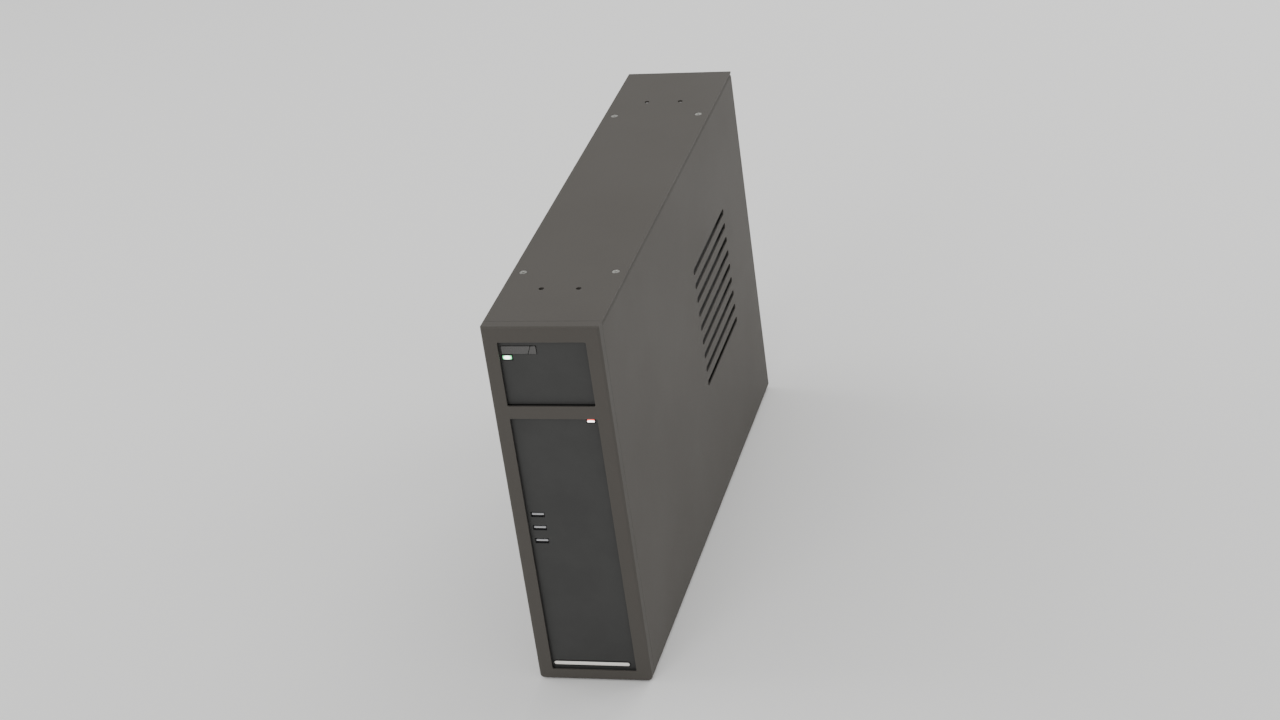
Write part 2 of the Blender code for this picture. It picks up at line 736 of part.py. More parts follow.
def fascia():
    """The plastic front: a thick wall with a rim, pocketed for the panels, buttons and ports."""
    low = (-PC_HALF_W, PC_FRONT, PC_BOTTOM)
    high = (PC_HALF_W, PC_FRONT + FASCIA_D, PC_TOP)
    made = box("pc_fascia", low, high, FASCIA_PLASTIC, edge=FASCIA_EDGE_R)
    inner = FASCIA_SHELL
    low = (-PC_HALF_W + inner, WALL_BACK, PC_BOTTOM + inner)
    high = (PC_HALF_W - inner, PC_FRONT + 2 * FASCIA_D, PC_TOP - inner)
    cut(made, box("fascia_hollow", low, high, guide=True))
    spans = panel_spans()
    half_w = PC_HALF_W - PANEL_RIM + GAP
    low = (-half_w, PC_FRONT - FASCIA_D, spans[1][1] - GAP)
    high = (half_w, PANEL_BACK + GAP, spans[0][0] + GAP)
    cut(made, box("panel_recess", low, high, guide=True))
    cut(made, strip_pocket(), usb_holes())
    return made


def panels():
    names = ("upper_panel", "lower_panel")
    half_w = PC_HALF_W - PANEL_RIM
    made = []
    for name, (top, bottom) in zip(names, panel_spans()):
        low = (-half_w, PC_FRONT, bottom)
        high = (half_w, PANEL_BACK, top)
        made.append(box(name, low, high, PANEL_PLASTIC, edge=PANEL_EDGE))
    upper, lower = made
    cut(upper, strip_pocket(), light_hole(GREEN_LIGHT, GREEN_LIGHT_AT, LIGHT_T + GAP))
    cut(lower, usb_holes(), light_hole(RED_LIGHT, RED_LIGHT_AT, LIGHT_T + GAP), trim_seat())
    return made


def trim_seat():
    """The lower panel's seat for the pale bar."""
    outline = stadium(TRIM_L + 2 * GAP, TRIM_H + 2 * GAP)
    front = PC_FRONT - FASCIA_D
    back = PC_FRONT + TRIM_SUNK + GAP
    place = (TRIM_X, (front + back) / 2, TRIM_Z)
    return plate("trim_seat", [outline], back - front, place, "Y", guide=True)


def trim_bar():
    place = (TRIM_X, PC_FRONT + (TRIM_SUNK - TRIM_PROUD) / 2, TRIM_Z)
    return plate("trim_bar", [stadium(TRIM_L, TRIM_H)], TRIM_SUNK + TRIM_PROUD, place, "Y", PALE_PLASTIC)


def strip_buttons():
    made = []
    place = (0, PC_FRONT + (STRIP_BODY - STRIP_PROUD) / 2, STRIP_Z)
    for name, outline in zip(("power_button", "reset_button"), strip_outlines()):
        made.append(plate(name, [outline], STRIP_BODY + STRIP_PROUD, place, "Y", BUTTON_PLASTIC))
    return made


def lights():
    made = []
    for name, size, at, surface in (
        ("green_light", GREEN_LIGHT, GREEN_LIGHT_AT, GREEN_LENS),
        ("red_light", RED_LIGHT, RED_LIGHT_AT, RED_LENS),
    ):
        low = (at[0] - size[0] / 2, PC_FRONT - LIGHT_PROUD, at[1] - size[1] / 2)
        high = (at[0] + size[0] / 2, PC_FRONT + LIGHT_T, at[1] + size[1] / 2)
        made.append(box(name, low, high, surface, edge=0.4 * MM))
    return made


def usb_ports():
    """Steel shells open at the front, each with its contact tongue."""
    made = []
    for number, z in enumerate(usb_heights(), 1):
        low = (USB_X - USB_W / 2, PC_FRONT, z - USB_H / 2)
        high = (USB_X + USB_W / 2, PC_FRONT + USB_L, z + USB_H / 2)
        port = box(f"usb_port_{number}", low, high, STEEL)
        low = (USB_X - USB_W / 2 + USB_WALL, PC_FRONT - USB_L, z - USB_H / 2 + USB_WALL)
        high = (USB_X + USB_W / 2 - USB_WALL, PC_FRONT + USB_L - 1 * MM, z + USB_H / 2 - USB_WALL)
        cut(port, box("usb_mouth", low, high, guide=True))
        width, height, length = USB_TONGUE
        back = PC_FRONT + USB_L - 0.5 * MM
        low = (USB_X - width / 2, back - length, z - height / 2)
        high = (USB_X + width / 2, back, z + height / 2)
        joined(port, box("usb_tongue", low, high, guide=True))
        made.append(port)
    return made


def front_io_board():
    heights = usb_heights()
    front = PC_FRONT + USB_L + GAP
    low = (USB_X - BOARD_MARGIN, front, heights[-1] - BOARD_MARGIN)
    high = (USB_X + BOARD_RIGHT, front + BOARD_T, heights[0] + BOARD_MARGIN)
    return box("front_io_board", low, high, CIRCUIT_BOARD)


# The computer's case


def slot_cover_heights():
    first = SLOT_COVER_TOP - SLOT_COVER_W / 2
    return [first - number * SLOT_COVER_PITCH for number in range(SLOT_COVER_COUNT)]


def thumbscrew_places():
    x = PC_HALF_W - COVER_T - TAB_SIZE / 2
    return [(x, PC_BOTTOM + THUMB_INSET), (x, SHIELD_TOP - THUMB_INSET)]


def chassis():
    """A folded steel tray, open on its right side, with the rear wall cut for what shows through it."""
    low = Vector((-PC_HALF_W, CHASSIS_FRONT, PC_BOTTOM))
    high = Vector((CHASSIS_RIGHT, PC_REAR, PC_TOP))
    made = box("pc_chassis", low, high, CASE_PAINT)
    wall = Vector((CHASSIS_T, CHASSIS_T, CHASSIS_T))
    open_side = Vector((3 * CHASSIS_T, 0, 0))
    cut(made, box("chassis_hollow", low + wall, high - wall + open_side, guide=True))
    through = (PC_REAR - 3 * CHASSIS_T, PC_REAR + 3 * CHASSIS_T)
    rim = REAR_RIM
    psu = (
        (PSU_LEFT + rim, through[0], PSU_BOTTOM + rim),
        (PSU_RIGHT - rim, through[1], PSU_TOP - rim),
    )
    shield = (
        (SHIELD_LEFT + rim, through[0], SHIELD_BOTTOM + rim),
        (SHIELD_LEFT + SHIELD_W - rim, through[1], SHIELD_TOP - rim),
    )
    covers = [
        (
            (SLOT_COVER_X - SLOT_COVER_L / 2 + rim, through[0], z - SLOT_COVER_W / 2 + rim),
            (SLOT_COVER_X + SLOT_COVER_L / 2 - rim, through[1], z + SLOT_COVER_W / 2 - rim),
        )
        for z in slot_cover_heights()
    ]
    cut(made, boxes("rear_openings", [psu, shield, *covers]))
    cut(made, rear_vents())
    for x, z in thumbscrew_places():
        hole = shank(THUMB_SHANK_R + GAP, THUMB_SHANK_L)
        cut(made, turned("screw_hole", hole, (x, PC_REAR, z), (math.pi / 2, 0, 0), guide=True))
    return made


def rear_vents():
    """Rows of air slots in the rear wall beside the connector plate."""
    left = SHIELD_LEFT + SHIELD_W + VENT_MARGIN
    right = PC_HALF_W - COVER_T - TAB_SIZE - VENT_RIGHT
    top = SHIELD_TOP - VENT_MARGIN
    bottom = SHIELD_BOTTOM + VENT_MARGIN
    count = int((top - bottom) / GRILLE_PITCH)
    corners = []
    for row in range(count):
        z = top - row * GRILLE_PITCH
        low = (left, PC_REAR - 3 * CHASSIS_T, z - GRILLE_SLOT)
        corners.append((low, (right, PC_REAR + 3 * CHASSIS_T, z)))
    return boxes("rear_vents", corners)


def cover():
    """The side cover: a sheet with two lips inside the chassis, and tabs over the rear wall."""
    lip_z = CHASSIS_T + GAP
    inner = PC_HALF_W - COVER_LIP
    profile = [
        (inner, PC_BOTTOM + lip_z),
        (PC_HALF_W, PC_BOTTOM + lip_z),
        (PC_HALF_W, PC_TOP - lip_z),
        (inner, PC_TOP - lip_z),
    ]
    front = CHASSIS_FRONT + CHASSIS_T + GAP
    back = PC_REAR - CHASSIS_T - GAP
    made = bent_sheet("pc_cover", profile, front, back, COVER_T, COVER_BEND_R, CASE_PAINT)
    rear = PC_REAR + GAP + COVER_T
    for x, z in thumbscrew_places():
        low = (x - TAB_SIZE / 2, PC_REAR + GAP, z - TAB_SIZE / 2)
        high = (PC_HALF_W, rear, z + TAB_SIZE / 2)
        joined(made, box("cover_tab", low, high, guide=True))
        low = (PC_HALF_W - COVER_T, PC_REAR - TONGUE_L, z - TAB_SIZE / 2)
        joined(made, box("cover_tongue", low, high, guide=True))
        hole = shank(THUMB_SHANK_R + GAP, THUMB_SHANK_L)
        cut(made, turned("tab_hole", hole, (x, PC_REAR, z), (math.pi / 2, 0, 0), guide=True))
    return made


def thumbscrews():
    made = []
    seat = PC_REAR + 2 * GAP + COVER_T
    profile = [
        (0, THUMB_H),
        (THUMB_R - THUMB_EDGE, THUMB_H),
        (THUMB_R, THUMB_H - THUMB_EDGE),
        (THUMB_R, 0),
        (THUMB_SHANK_R, 0),
        (THUMB_SHANK_R, -THUMB_SHANK_L),
        (0, -THUMB_SHANK_L),
    ]
    for number, (x, z) in enumerate(thumbscrew_places(), 1):
        name = f"cover_thumbscrew_{number}"
        made.append(turned(name, profile, (x, seat, z), (-math.pi / 2, 0, 0), ZINC))
    return made


def feet():
    made = []
    spots = [
        (side * GLIDE_X, end)
        for side in (-1, 1)
        for end in (PC_FRONT + FOOT_INSET, PC_REAR - FOOT_INSET)
    ]
    profile = [
        (0, 0),
        (FOOT_R, 0),
        (FOOT_R, -FOOT_T + FOOT_EDGE),
        (FOOT_R - FOOT_EDGE, -FOOT_T + GAP),
        (0, -FOOT_T + GAP),
    ]
    for number, (x, y) in enumerate(spots, 1):
        made.append(turned(f"pc_foot_{number}", profile, (x, y, PC_BOTTOM - GAP), (0, 0, 0), RUBBER))
    return made


# The computer's inside


def power_supply():
    """A steel box whose rear wall has the fan's grille and the inlet's cut-out."""
    low = Vector((PSU_LEFT, PSU_REAR - PSU_L, PSU_BOTTOM))
    high = Vector((PSU_RIGHT, PSU_REAR, PSU_TOP))
    made = box("power_supply", low, high, ZINC)
    wall = Vector((PSU_WALL, PSU_WALL, PSU_WALL))
    cut(made, box("psu_hollow", low + wall, high - wall, guide=True))
    corners = []
    rows = int(PSU_FAN_R / GRILLE_PITCH)
    for row in range(-rows, rows + 1):
        z = PSU_MIDDLE_Z + row * GRILLE_PITCH
        reach = math.sqrt(PSU_FAN_R**2 - (row * GRILLE_PITCH) ** 2)
        low = (PSU_FAN_X - reach, PSU_REAR - 3 * PSU_WALL, z - GRILLE_SLOT / 2)
        high = (PSU_FAN_X + reach, PSU_REAR + PSU_WALL, z + GRILLE_SLOT / 2)
        corners.append((low, high))
    half_w = INLET_W / 2 + GAP
    half_h = INLET_H / 2 + GAP
    low = (INLET_X - half_w, PSU_REAR - 3 * PSU_WALL, PSU_MIDDLE_Z - half_h)
    corners.append((low, (INLET_X + half_w, PSU_REAR + PSU_WALL, PSU_MIDDLE_Z + half_h)))
    cut(made, boxes("psu_openings", corners))
    return made


def inlet():
    """The mains inlet: a flanged socket with three blades."""
    z = PSU_MIDDLE_Z
    lip_front = PSU_REAR + GAP
    half_w = INLET_W / 2
    half_h = INLET_H / 2
    low = (INLET_X - half_w, PSU_REAR - INLET_BODY, z - half_h)
    high = (INLET_X + half_w, lip_front + INLET_LIP / 2, z + half_h)
    body = box("mains_inlet", low, high, BLACK_PLASTIC, edge=0.8 * MM)
    low = (INLET_X - half_w - INLET_FLANGE, lip_front, z - half_h - INLET_FLANGE)
    high = (INLET_X + half_w + INLET_FLANGE, lip_front + INLET_LIP, z + half_h + INLET_FLANGE)
    joined(body, box("inlet_lip", low, high, guide=True))
    back = lip_front + INLET_LIP - INLET_MOUTH
    low = (INLET_X - half_w + INLET_WALL, back, z - half_h + INLET_WALL)
    high = (INLET_X + half_w - INLET_WALL, lip_front + 2 * INLET_LIP, z + half_h - INLET_WALL)
    cut(body, box("inlet_mouth", low, high, guide=True))
    made = [body]
    for number, (step, drop) in enumerate(((-1, -PIN_DROP), (0, PIN_DROP), (1, -PIN_DROP)), 1):
        x = INLET_X + step * PIN_PITCH
        low = (x - PIN_W / 2, back + GAP, z + drop - PIN_H / 2)
        high = (x + PIN_W / 2, back + GAP + PIN_L, z + drop + PIN_H / 2)
        made.append(box(f"inlet_pin_{number}", low, high, ZINC, edge=0.3 * MM))
    return made


def fan(name, radius, place, tilt):
    """A fan's rotor about its own Z axis: a hub with pitched blades."""
    hub_r = radius * FAN_HUB
    hub = [
        (0, FAN_T / 2),
        (hub_r - 1 * MM, FAN_T / 2),
        (hub_r, FAN_T / 2 - 1 * MM),
        (hub_r, -FAN_T / 2),
        (0, -FAN_T / 2),
    ]
    made = turned(name, hub, place, tilt, BLACK_PLASTIC, steps=28)
    bm = bmesh.new()
    reach = radius - hub_r + 2 * MM
    for number in range(FAN_BLADES):
        blade = bmesh.ops.create_cube(bm, size=1.0)["verts"]
        bmesh.ops.scale(bm, vec=(reach, radius * FAN_BLADE_W, FAN_BLADE_T), verts=blade)
        turn = number * 2 * math.pi / FAN_BLADES
        for vert in blade:
            x, y, z = vert.co
            tilted_y = y * math.cos(FAN_PITCH) - z * math.sin(FAN_PITCH)
            tilted_z = y * math.sin(FAN_PITCH) + z * math.cos(FAN_PITCH)
            out = x + radius - reach / 2
            across = out * math.cos(turn) - tilted_y * math.sin(turn)
            along = out * math.sin(turn) + tilted_y * math.cos(turn)
            vert.co = (across, along, tilted_z)
    blades = from_bmesh(bm, name + "_blades", place, None, guide=True)
    blades.rotation_euler = tilt
    joined(made, blades)
    return made


def main_board():
    low = (BOARD_X, BOARD_REAR - MAIN_BOARD_L, BOARD_BOTTOM)
    high = (BOARD_X + MAIN_BOARD_T, BOARD_REAR, BOARD_TOP)
    return box("main_board", low, high, CIRCUIT_BOARD)


def cpu_cooler():
    """A finned block over the processor. Its fan blows into the fins."""
    half = COOLER_SIZE / 2
    low = (COOLER_BASE, CPU_FAN_Y - half, CPU_FAN_Z - half)
    high = (COOLER_BASE + COOLER_T, CPU_FAN_Y + half, CPU_FAN_Z + half)
    made = box("cpu_cooler", low, high, ALUMINIUM)
    count = int(COOLER_SIZE / FIN_PITCH) - 1
    corners = []
    for number in range(count):
        y = CPU_FAN_Y - half + FIN_PITCH * (number + 1)
        low = (COOLER_BASE + COOLER_PLATE, y - FIN_CHANNEL / 2, CPU_FAN_Z - COOLER_SIZE)
        high = (COOLER_BASE + 2 * COOLER_T, y + FIN_CHANNEL / 2, CPU_FAN_Z + COOLER_SIZE)
        corners.append((low, high))
    cut(made, boxes("fin_channels", corners))
    return made


def memory_module():
    x = BOARD_X + MAIN_BOARD_T + GAP
    y = BOARD_REAR - MAIN_BOARD_L + MEMORY_BEHIND
    width, thick, length = MEMORY
    top = BOARD_TOP - MEMORY_BELOW
    low = (x, y - thick / 2, top - length)
    high = (x + width, y + thick / 2, top)
    return box("memory_module", low, high, CIRCUIT_BOARD)


def hard_drive():
    width, length, height = DRIVE
    left = -PC_HALF_W + CHASSIS_T + DRIVE_OFF[0]
    front = CHASSIS_FRONT + CHASSIS_T + DRIVE_OFF[1]
    bottom = PC_BOTTOM + CHASSIS_T + DRIVE_OFF[2]
    low = (left, front, bottom)
    return box("hard_drive", low, (left + width, front + length, bottom + height), ALUMINIUM, edge=1 * MM)


def rear_connectors():
    """The connector plate, and the sockets on the main board behind its openings."""
    low = (SHIELD_LEFT, SHIELD_REAR - SHIELD_T, SHIELD_BOTTOM)
    high = (SHIELD_LEFT + SHIELD_W, SHIELD_REAR, SHIELD_TOP)
    shield = box("io_shield", low, high, STEEL)
    made = [shield]
    corners = []
    socket_left = BOARD_X + MAIN_BOARD_T + GAP
    front = SHIELD_REAR - PORT_L
    for name, tall, wide, below in REAR_SOCKETS:
        half = tall / 2
        z = SHIELD_TOP - below
        right = socket_left + wide
        body = box(name, (socket_left, front, z - half), (right, SHIELD_REAR, z + half), STEEL)
        wall = PORT_WALL
        low = (socket_left + wall, front + PORT_BACK_WALL, z - half + wall)
        cut(body, box("socket_mouth", low, (right - wall, PC_REAR, z + half - wall), guide=True))
        low = (socket_left - GAP, SHIELD_REAR - 3 * SHIELD_T, z - half - GAP)
        corners.append((low, (right + GAP, PC_REAR, z + half + GAP)))
        made.append(body)
    cut(shield, boxes("shield_openings", corners))
    return made


def slot_covers():
    made = []
    rear = PC_REAR - CHASSIS_T - GAP
    for number, z in enumerate(slot_cover_heights(), 1):
        low = (SLOT_COVER_X - SLOT_COVER_L / 2, rear - SLOT_COVER_T, z - SLOT_COVER_W / 2)
        high = (SLOT_COVER_X + SLOT_COVER_L / 2, rear, z + SLOT_COVER_W / 2)
        made.append(box(f"slot_cover_{number}", low, high, STEEL))
    return made


def computer():
    """Everything that slides out together, and the pieces that move on it."""
    slide = pivot("computer_slide", (0, PC_FRONT, PC_BOTTOM))
    pieces = [chassis(), cover(), fascia(), *panels(), trim_bar(), *lights(), *usb_ports()]
    pieces += [front_io_board(), power_supply(), *inlet(), main_board(), cpu_cooler(), memory_module()]
    pieces += [hard_drive(), *rear_connectors(), *slot_covers(), *feet(), *thumbscrews()]
    fan_y = PSU_REAR - PSU_WALL - FAN_CLEARANCE - FAN_T / 2
    pieces.append(fan("psu_fan", PSU_FAN_R, (PSU_FAN_X, fan_y, PSU_MIDDLE_Z), (-math.pi / 2, 0, 0)))
    fan_x = COOLER_BASE + COOLER_T + FAN_CLEARANCE + FAN_T / 2
    pieces.append(fan("cpu_fan", CPU_FAN_R, (fan_x, CPU_FAN_Y, CPU_FAN_Z), (0, math.pi / 2, 0)))
    carried_by(slide, pieces)
    for button in strip_buttons():
        spring = pivot(button.name + "_spring", button.location, slide)
        button.parent = spring
        button.location = (0, 0, 0)


shell_wrap()
front_frame()
top_plate()
top_fasteners()
linings()
computer()
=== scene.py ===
# %% [markdown]
# # A computer holder under a desk
#
# The object is a slim sleeve of folded steel that is screwed under a desktop. A slim computer slides
# into it from behind and looks out through two windows in the front frame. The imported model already
# holds every part at its real size and place, so this script only gives those parts their looks:
# softer edges, finer pieces where a plain solid would show, and a finish for each material.

import json
import math

import bmesh
import bpy
import numpy as np
from mathutils import Matrix, Vector


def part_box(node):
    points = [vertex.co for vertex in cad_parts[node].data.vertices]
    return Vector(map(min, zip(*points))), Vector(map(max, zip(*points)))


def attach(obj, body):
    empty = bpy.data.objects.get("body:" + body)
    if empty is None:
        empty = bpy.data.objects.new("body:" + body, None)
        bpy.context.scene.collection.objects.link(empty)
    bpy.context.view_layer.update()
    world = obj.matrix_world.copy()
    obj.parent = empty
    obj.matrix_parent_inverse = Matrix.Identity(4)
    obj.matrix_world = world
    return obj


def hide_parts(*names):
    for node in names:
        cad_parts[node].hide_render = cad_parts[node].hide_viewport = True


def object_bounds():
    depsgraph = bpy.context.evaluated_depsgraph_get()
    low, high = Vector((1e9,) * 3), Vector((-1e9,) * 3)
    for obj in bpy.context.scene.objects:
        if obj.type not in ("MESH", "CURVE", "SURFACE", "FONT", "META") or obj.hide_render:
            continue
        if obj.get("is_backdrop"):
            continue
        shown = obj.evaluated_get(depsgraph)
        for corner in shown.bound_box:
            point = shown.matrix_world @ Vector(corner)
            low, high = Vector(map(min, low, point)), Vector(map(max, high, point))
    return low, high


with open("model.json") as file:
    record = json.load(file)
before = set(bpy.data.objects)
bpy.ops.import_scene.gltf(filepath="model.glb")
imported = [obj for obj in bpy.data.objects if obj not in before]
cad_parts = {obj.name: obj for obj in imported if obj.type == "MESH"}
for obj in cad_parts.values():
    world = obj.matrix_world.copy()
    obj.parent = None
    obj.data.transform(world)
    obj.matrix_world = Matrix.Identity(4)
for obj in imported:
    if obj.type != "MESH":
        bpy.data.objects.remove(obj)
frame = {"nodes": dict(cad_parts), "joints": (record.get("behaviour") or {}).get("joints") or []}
MM = 0.001
cad_low, cad_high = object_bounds()
print("size in mm:", [round((high - low) / MM, 1) for low, high in zip(cad_low, cad_high)])

# %% [markdown]
# ## Camera
#
# The holder is seen from above and a little to its right, from just under three metres away and
# through a long lens. The camera is turned about its own line of sight until the front's level edges
# are level in the picture. That leaves the upright edges leaning, as they do in a wide view where the
# object stands far to one side.


# %% Camera
def aimed(eye, target, level):
    """A camera's placing: it looks from eye to target, turned so that the direction level is level."""
    forward = (target - eye).normalized()
    up = level.cross(forward).normalized()
    right = forward.cross(up)
    turn = Matrix((right, up, -forward)).transposed()
    return Matrix.Translation(eye) @ turn.to_4x4()


EYE = Vector((0.764, -2.438, 1.151))
LENS = 80  # in millimetres, as a camera maker states it
middle = (cad_low + cad_high) / 2
camera_data = bpy.data.cameras.new("camera")
camera_data.lens = LENS
camera = bpy.data.objects.new("camera", camera_data)
camera.matrix_world = aimed(EYE, middle, Vector((1, 0, 0)))
bpy.context.scene.collection.objects.link(camera)
bpy.context.scene.camera = camera
print("camera distance in m:", round((middle - EYE).length, 3))

# %% [markdown]
# ## Floor and light
#
# The floor is one large pale sheet just under the holder. Broad lamps and a pale sky keep every shadow
# soft. The lamp on the right stands further back than the holder's rear, so the long side grows a
# little brighter from front to rear, and the front gets slightly less light than the side.


# %% Floor, lamps and sky
def area_lamp(name, place, width, power):
    """A broad, soft lamp that faces the holder's middle, with its width in metres and its power in watts."""
    data = bpy.data.lights.new(name, "AREA")
    data.size = width
    data.energy = power
    lamp = bpy.data.objects.new(name, data)
    lamp.location = place
    lamp.rotation_euler = (middle - Vector(place)).to_track_quat("-Z", "Y").to_euler()
    bpy.context.scene.collection.objects.link(lamp)


FLOOR_HALF = 15
FLOOR_GAP = 1 * MM  # under the holder
SKY_STRENGTH = 0.7
floor_z = cad_low.z - FLOOR_GAP
floor_mesh = bpy.data.meshes.new("floor")
corners = [(x * FLOOR_HALF, y * FLOOR_HALF, floor_z) for x, y in ((-1, -1), (1, -1), (1, 1), (-1, 1))]
floor_mesh.from_pydata(corners, [], [(0, 1, 2, 3)])
floor = bpy.data.objects.new("floor", floor_mesh)
bpy.context.scene.collection.objects.link(floor)
floor_paint = bpy.data.materials.new("floor_paint")
floor_paint.use_nodes = True
floor_shader = floor_paint.node_tree.nodes["Principled BSDF"]
floor_shader.inputs["Base Color"].default_value = (0.9, 0.9, 0.89, 1)
floor_shader.inputs["Roughness"].default_value = 0.8
floor_mesh.materials.append(floor_paint)
floor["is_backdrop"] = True

area_lamp("front_lamp", (-0.6, -3.0, 1.6), 2.0, 36)
area_lamp("side_lamp", (2.4, 1.3, 1.0), 1.6, 20)
area_lamp("rear_lamp", (0.6, 2.8, 2.0), 2.0, 40)
area_lamp("left_lamp", (-2.6, 0.2, 1.4), 2.0, 26)

sky = bpy.data.worlds.new("sky")
sky.use_nodes = True
sky.node_tree.nodes["Background"].inputs["Color"].default_value = (1, 1, 1, 1)
sky.node_tree.nodes["Background"].inputs["Strength"].default_value = SKY_STRENGTH
bpy.context.scene.world = sky

# %% [markdown]
# ## Finishes
#
# Each finish is a node graph on the piece's own Object coordinates, which are metres here, so a noise
# of scale 1000 has grains of about a millimetre. A small helper keeps the graphs short: it makes a
# node, sets its values and joins its inputs.


# %% A helper for node graphs
class Finish:
    """A material under construction: node() adds a node, and shader is its Principled BSDF."""

    def __init__(self, name):
        self.material = bpy.data.materials.new(name)
        self.material.use_nodes = True
        self.tree = self.material.node_tree
        self.shader = self.tree.nodes["Principled BSDF"]
        self.place = self.node("ShaderNodeTexCoord").outputs["Object"]

    def node(self, kind, settings=None, **inputs):
        """A new node with its settings, and with each named input fed."""
        made = self.tree.nodes.new(kind)
        for key, value in (settings or {}).items():
            setattr(made, key, value)
        for key, value in inputs.items():
            self.feed(made.inputs[key.replace("_", " ")], value)
        return made

    def feed(self, socket, value):
        """Joins a socket to another one, or sets it to a plain value."""
        if isinstance(value, bpy.types.NodeSocket):
            self.tree.links.new(value, socket)
        else:
            socket.default_value = value

    def noise(self, scale, detail=3.0, stretch=None):
        """Noise of that many waves a metre; stretch multiplies the scale along X, Y and Z."""
        vector = self.place
        if stretch:
            vector = self.node("ShaderNodeMapping", Vector=self.place, Scale=stretch).outputs["Vector"]
        return self.node("ShaderNodeTexNoise", Vector=vector, Scale=scale, Detail=detail).outputs["Fac"]

    def spread(self, value, low, high, start=0.35, stop=0.65):
        """A value mapped from start..stop to low..high, and held at the ends."""
        made = self.node("ShaderNodeMapRange")
        for number, part in enumerate((value, start, stop, low, high)):
            self.feed(made.inputs[number], part)
        return made.outputs["Result"]

    def maths(self, operation, first, second):
        """Two values added, multiplied and so on."""
        made = self.node("ShaderNodeMath", {"operation": operation})
        self.feed(made.inputs[0], first)
        self.feed(made.inputs[1], second)
        return made.outputs[0]

    def mixed(self, factor, first, second):
        """A colour between two others."""
        made = self.node("ShaderNodeMix", {"data_type": "RGBA"})
        for socket, value in zip((0, 6, 7), (factor, first, second)):
            self.feed(made.inputs[socket], value)
        return made.outputs[2]

    def edges(self, reach):
        """1 within reach of an edge and 0 on flat ground, from how far a rounded normal turns away."""
        rounded = self.node("ShaderNodeBevel", {"samples": 4}, Radius=reach).outputs["Normal"]
        true = self.node("ShaderNodeNewGeometry").outputs["Normal"]
        same = self.node("ShaderNodeVectorMath", {"operation": "DOT_PRODUCT"})
        self.feed(same.inputs[0], rounded)
        self.feed(same.inputs[1], true)
        return self.spread(same.outputs["Value"], 1.0, 0.0, start=0.86, stop=0.985)

    def bumps(self, height, depth, under=None):
        """Bumps of that depth in metres, from a height between 0 and 1."""
        made = self.node("ShaderNodeBump", Distance=depth, Height=height)
        if under is not None:
            self.feed(made.inputs["Normal"], under)
        return made.outputs["Normal"]

    def set(self, **inputs):
        """Feeds the shader's own inputs, and gives back the finished material."""
        for key, value in inputs.items():
            self.feed(self.shader.inputs[key.replace("_", " ")], value)
        return self.material


def shade(red, green, blue, times=1.0):
    """A display colour of 0 to 255 as the linear values that a shader takes, made times as bright."""
    return tuple(min(1.0, times * (value / 255) ** 2.2) for value in (red, green, blue)) + (1.0,)


# %% [markdown]
# The sleeve's powder coat is a warm dark grey with the faint orange peel of baked powder: shallow
# waves about a millimetre across, with a finer grain on top. Its edges are rubbed a little paler, a
# thin film of dust lies on whatever faces up, and hands have left slightly smoother patches. Pictures
# of real paint could give all this, but noise needs no picture and has no seams where faces meet.


# %% Powder coats
DUST = (170, 166, 158)
DUST_COVER = 0.03  # how much of an upward face it hides


def powder_coat(name, rgb, worn, peel, roughness):
    """Paint whose colour pales at edges and under dust, and whose bumps are two sizes of noise."""
    made = Finish(name)
    rub = made.maths("MULTIPLY", made.edges(0.5 * MM), made.spread(made.noise(90, 4), 0.1, 0.6))
    facing = made.node("ShaderNodeNewGeometry").outputs["Normal"]
    upward = made.node("ShaderNodeSeparateXYZ", Vector=facing).outputs["Z"]
    film = made.spread(upward, 0.0, DUST_COVER, 0.3, 1.0)
    lying = made.maths("MULTIPLY", film, made.spread(made.noise(900, 6), 0.3, 1.0))
    tone = made.mixed(made.noise(16, 4), shade(*rgb, 0.98), shade(*rgb, 1.02))
    dusty = made.mixed(lying, tone, shade(*DUST))
    hands = made.spread(made.noise(7, 4), roughness - 0.03, roughness + 0.03)
    grain = made.spread(made.noise(1300, 2), -0.03, 0.03)
    return made.set(
        Base_Color=made.mixed(rub, dusty, shade(*worn)),
        Roughness=made.maths("ADD", hands, grain),
        Normal=made.bumps(made.noise(2600, 2), 0.01 * MM, made.bumps(made.noise(750, 2), peel)),
        Specular_IOR_Level=0.3,  # baked powder shines less at a grazing angle than smooth paint
    )


sleeve_coat = powder_coat("sleeve_powder_coat", (74, 71, 67), (108, 105, 100), 0.028 * MM, 0.66)
# The computer's case is black paint, made a little darker still so that what shows through the sleeve's
# slots reads as painted shade.
case_coat = powder_coat("case_powder_coat", (26, 26, 27), (80, 80, 82), 0.02 * MM, 0.5)
print("powder coats:", sleeve_coat.name, case_coat.name)

# %% [markdown]
# Moulded plastic takes the fine spark-eroded grain of its steel mould, as even little pits. The front
# panels are a neutral dark grey, a little darker than the sleeve. Every moulded edge is made paler,
# partly as wear from touch and partly as a painted highlight.


# %% Moulded plastics
def moulded(name, rgb, grain, roughness, paler=1.4, grain_scale=2200):
    """Plastic whose pits are fine noise, with edges paler than its colour by that many times, partly as wear
    and partly as a painted highlight.
    """
    made = Finish(name)
    tone = made.mixed(made.noise(24, 4), shade(*rgb, 0.97), shade(*rgb, 1.03))
    return made.set(
        # Every edge is made paler: partly wear, partly a painted highlight.
        Base_Color=made.mixed(made.maths("MULTIPLY", made.edges(0.3 * MM), 0.5), tone, shade(*rgb, paler)),
        Roughness=made.spread(made.noise(30, 5), roughness - 0.05, roughness + 0.05),
        Normal=made.bumps(made.noise(grain_scale, 2), grain),
    )


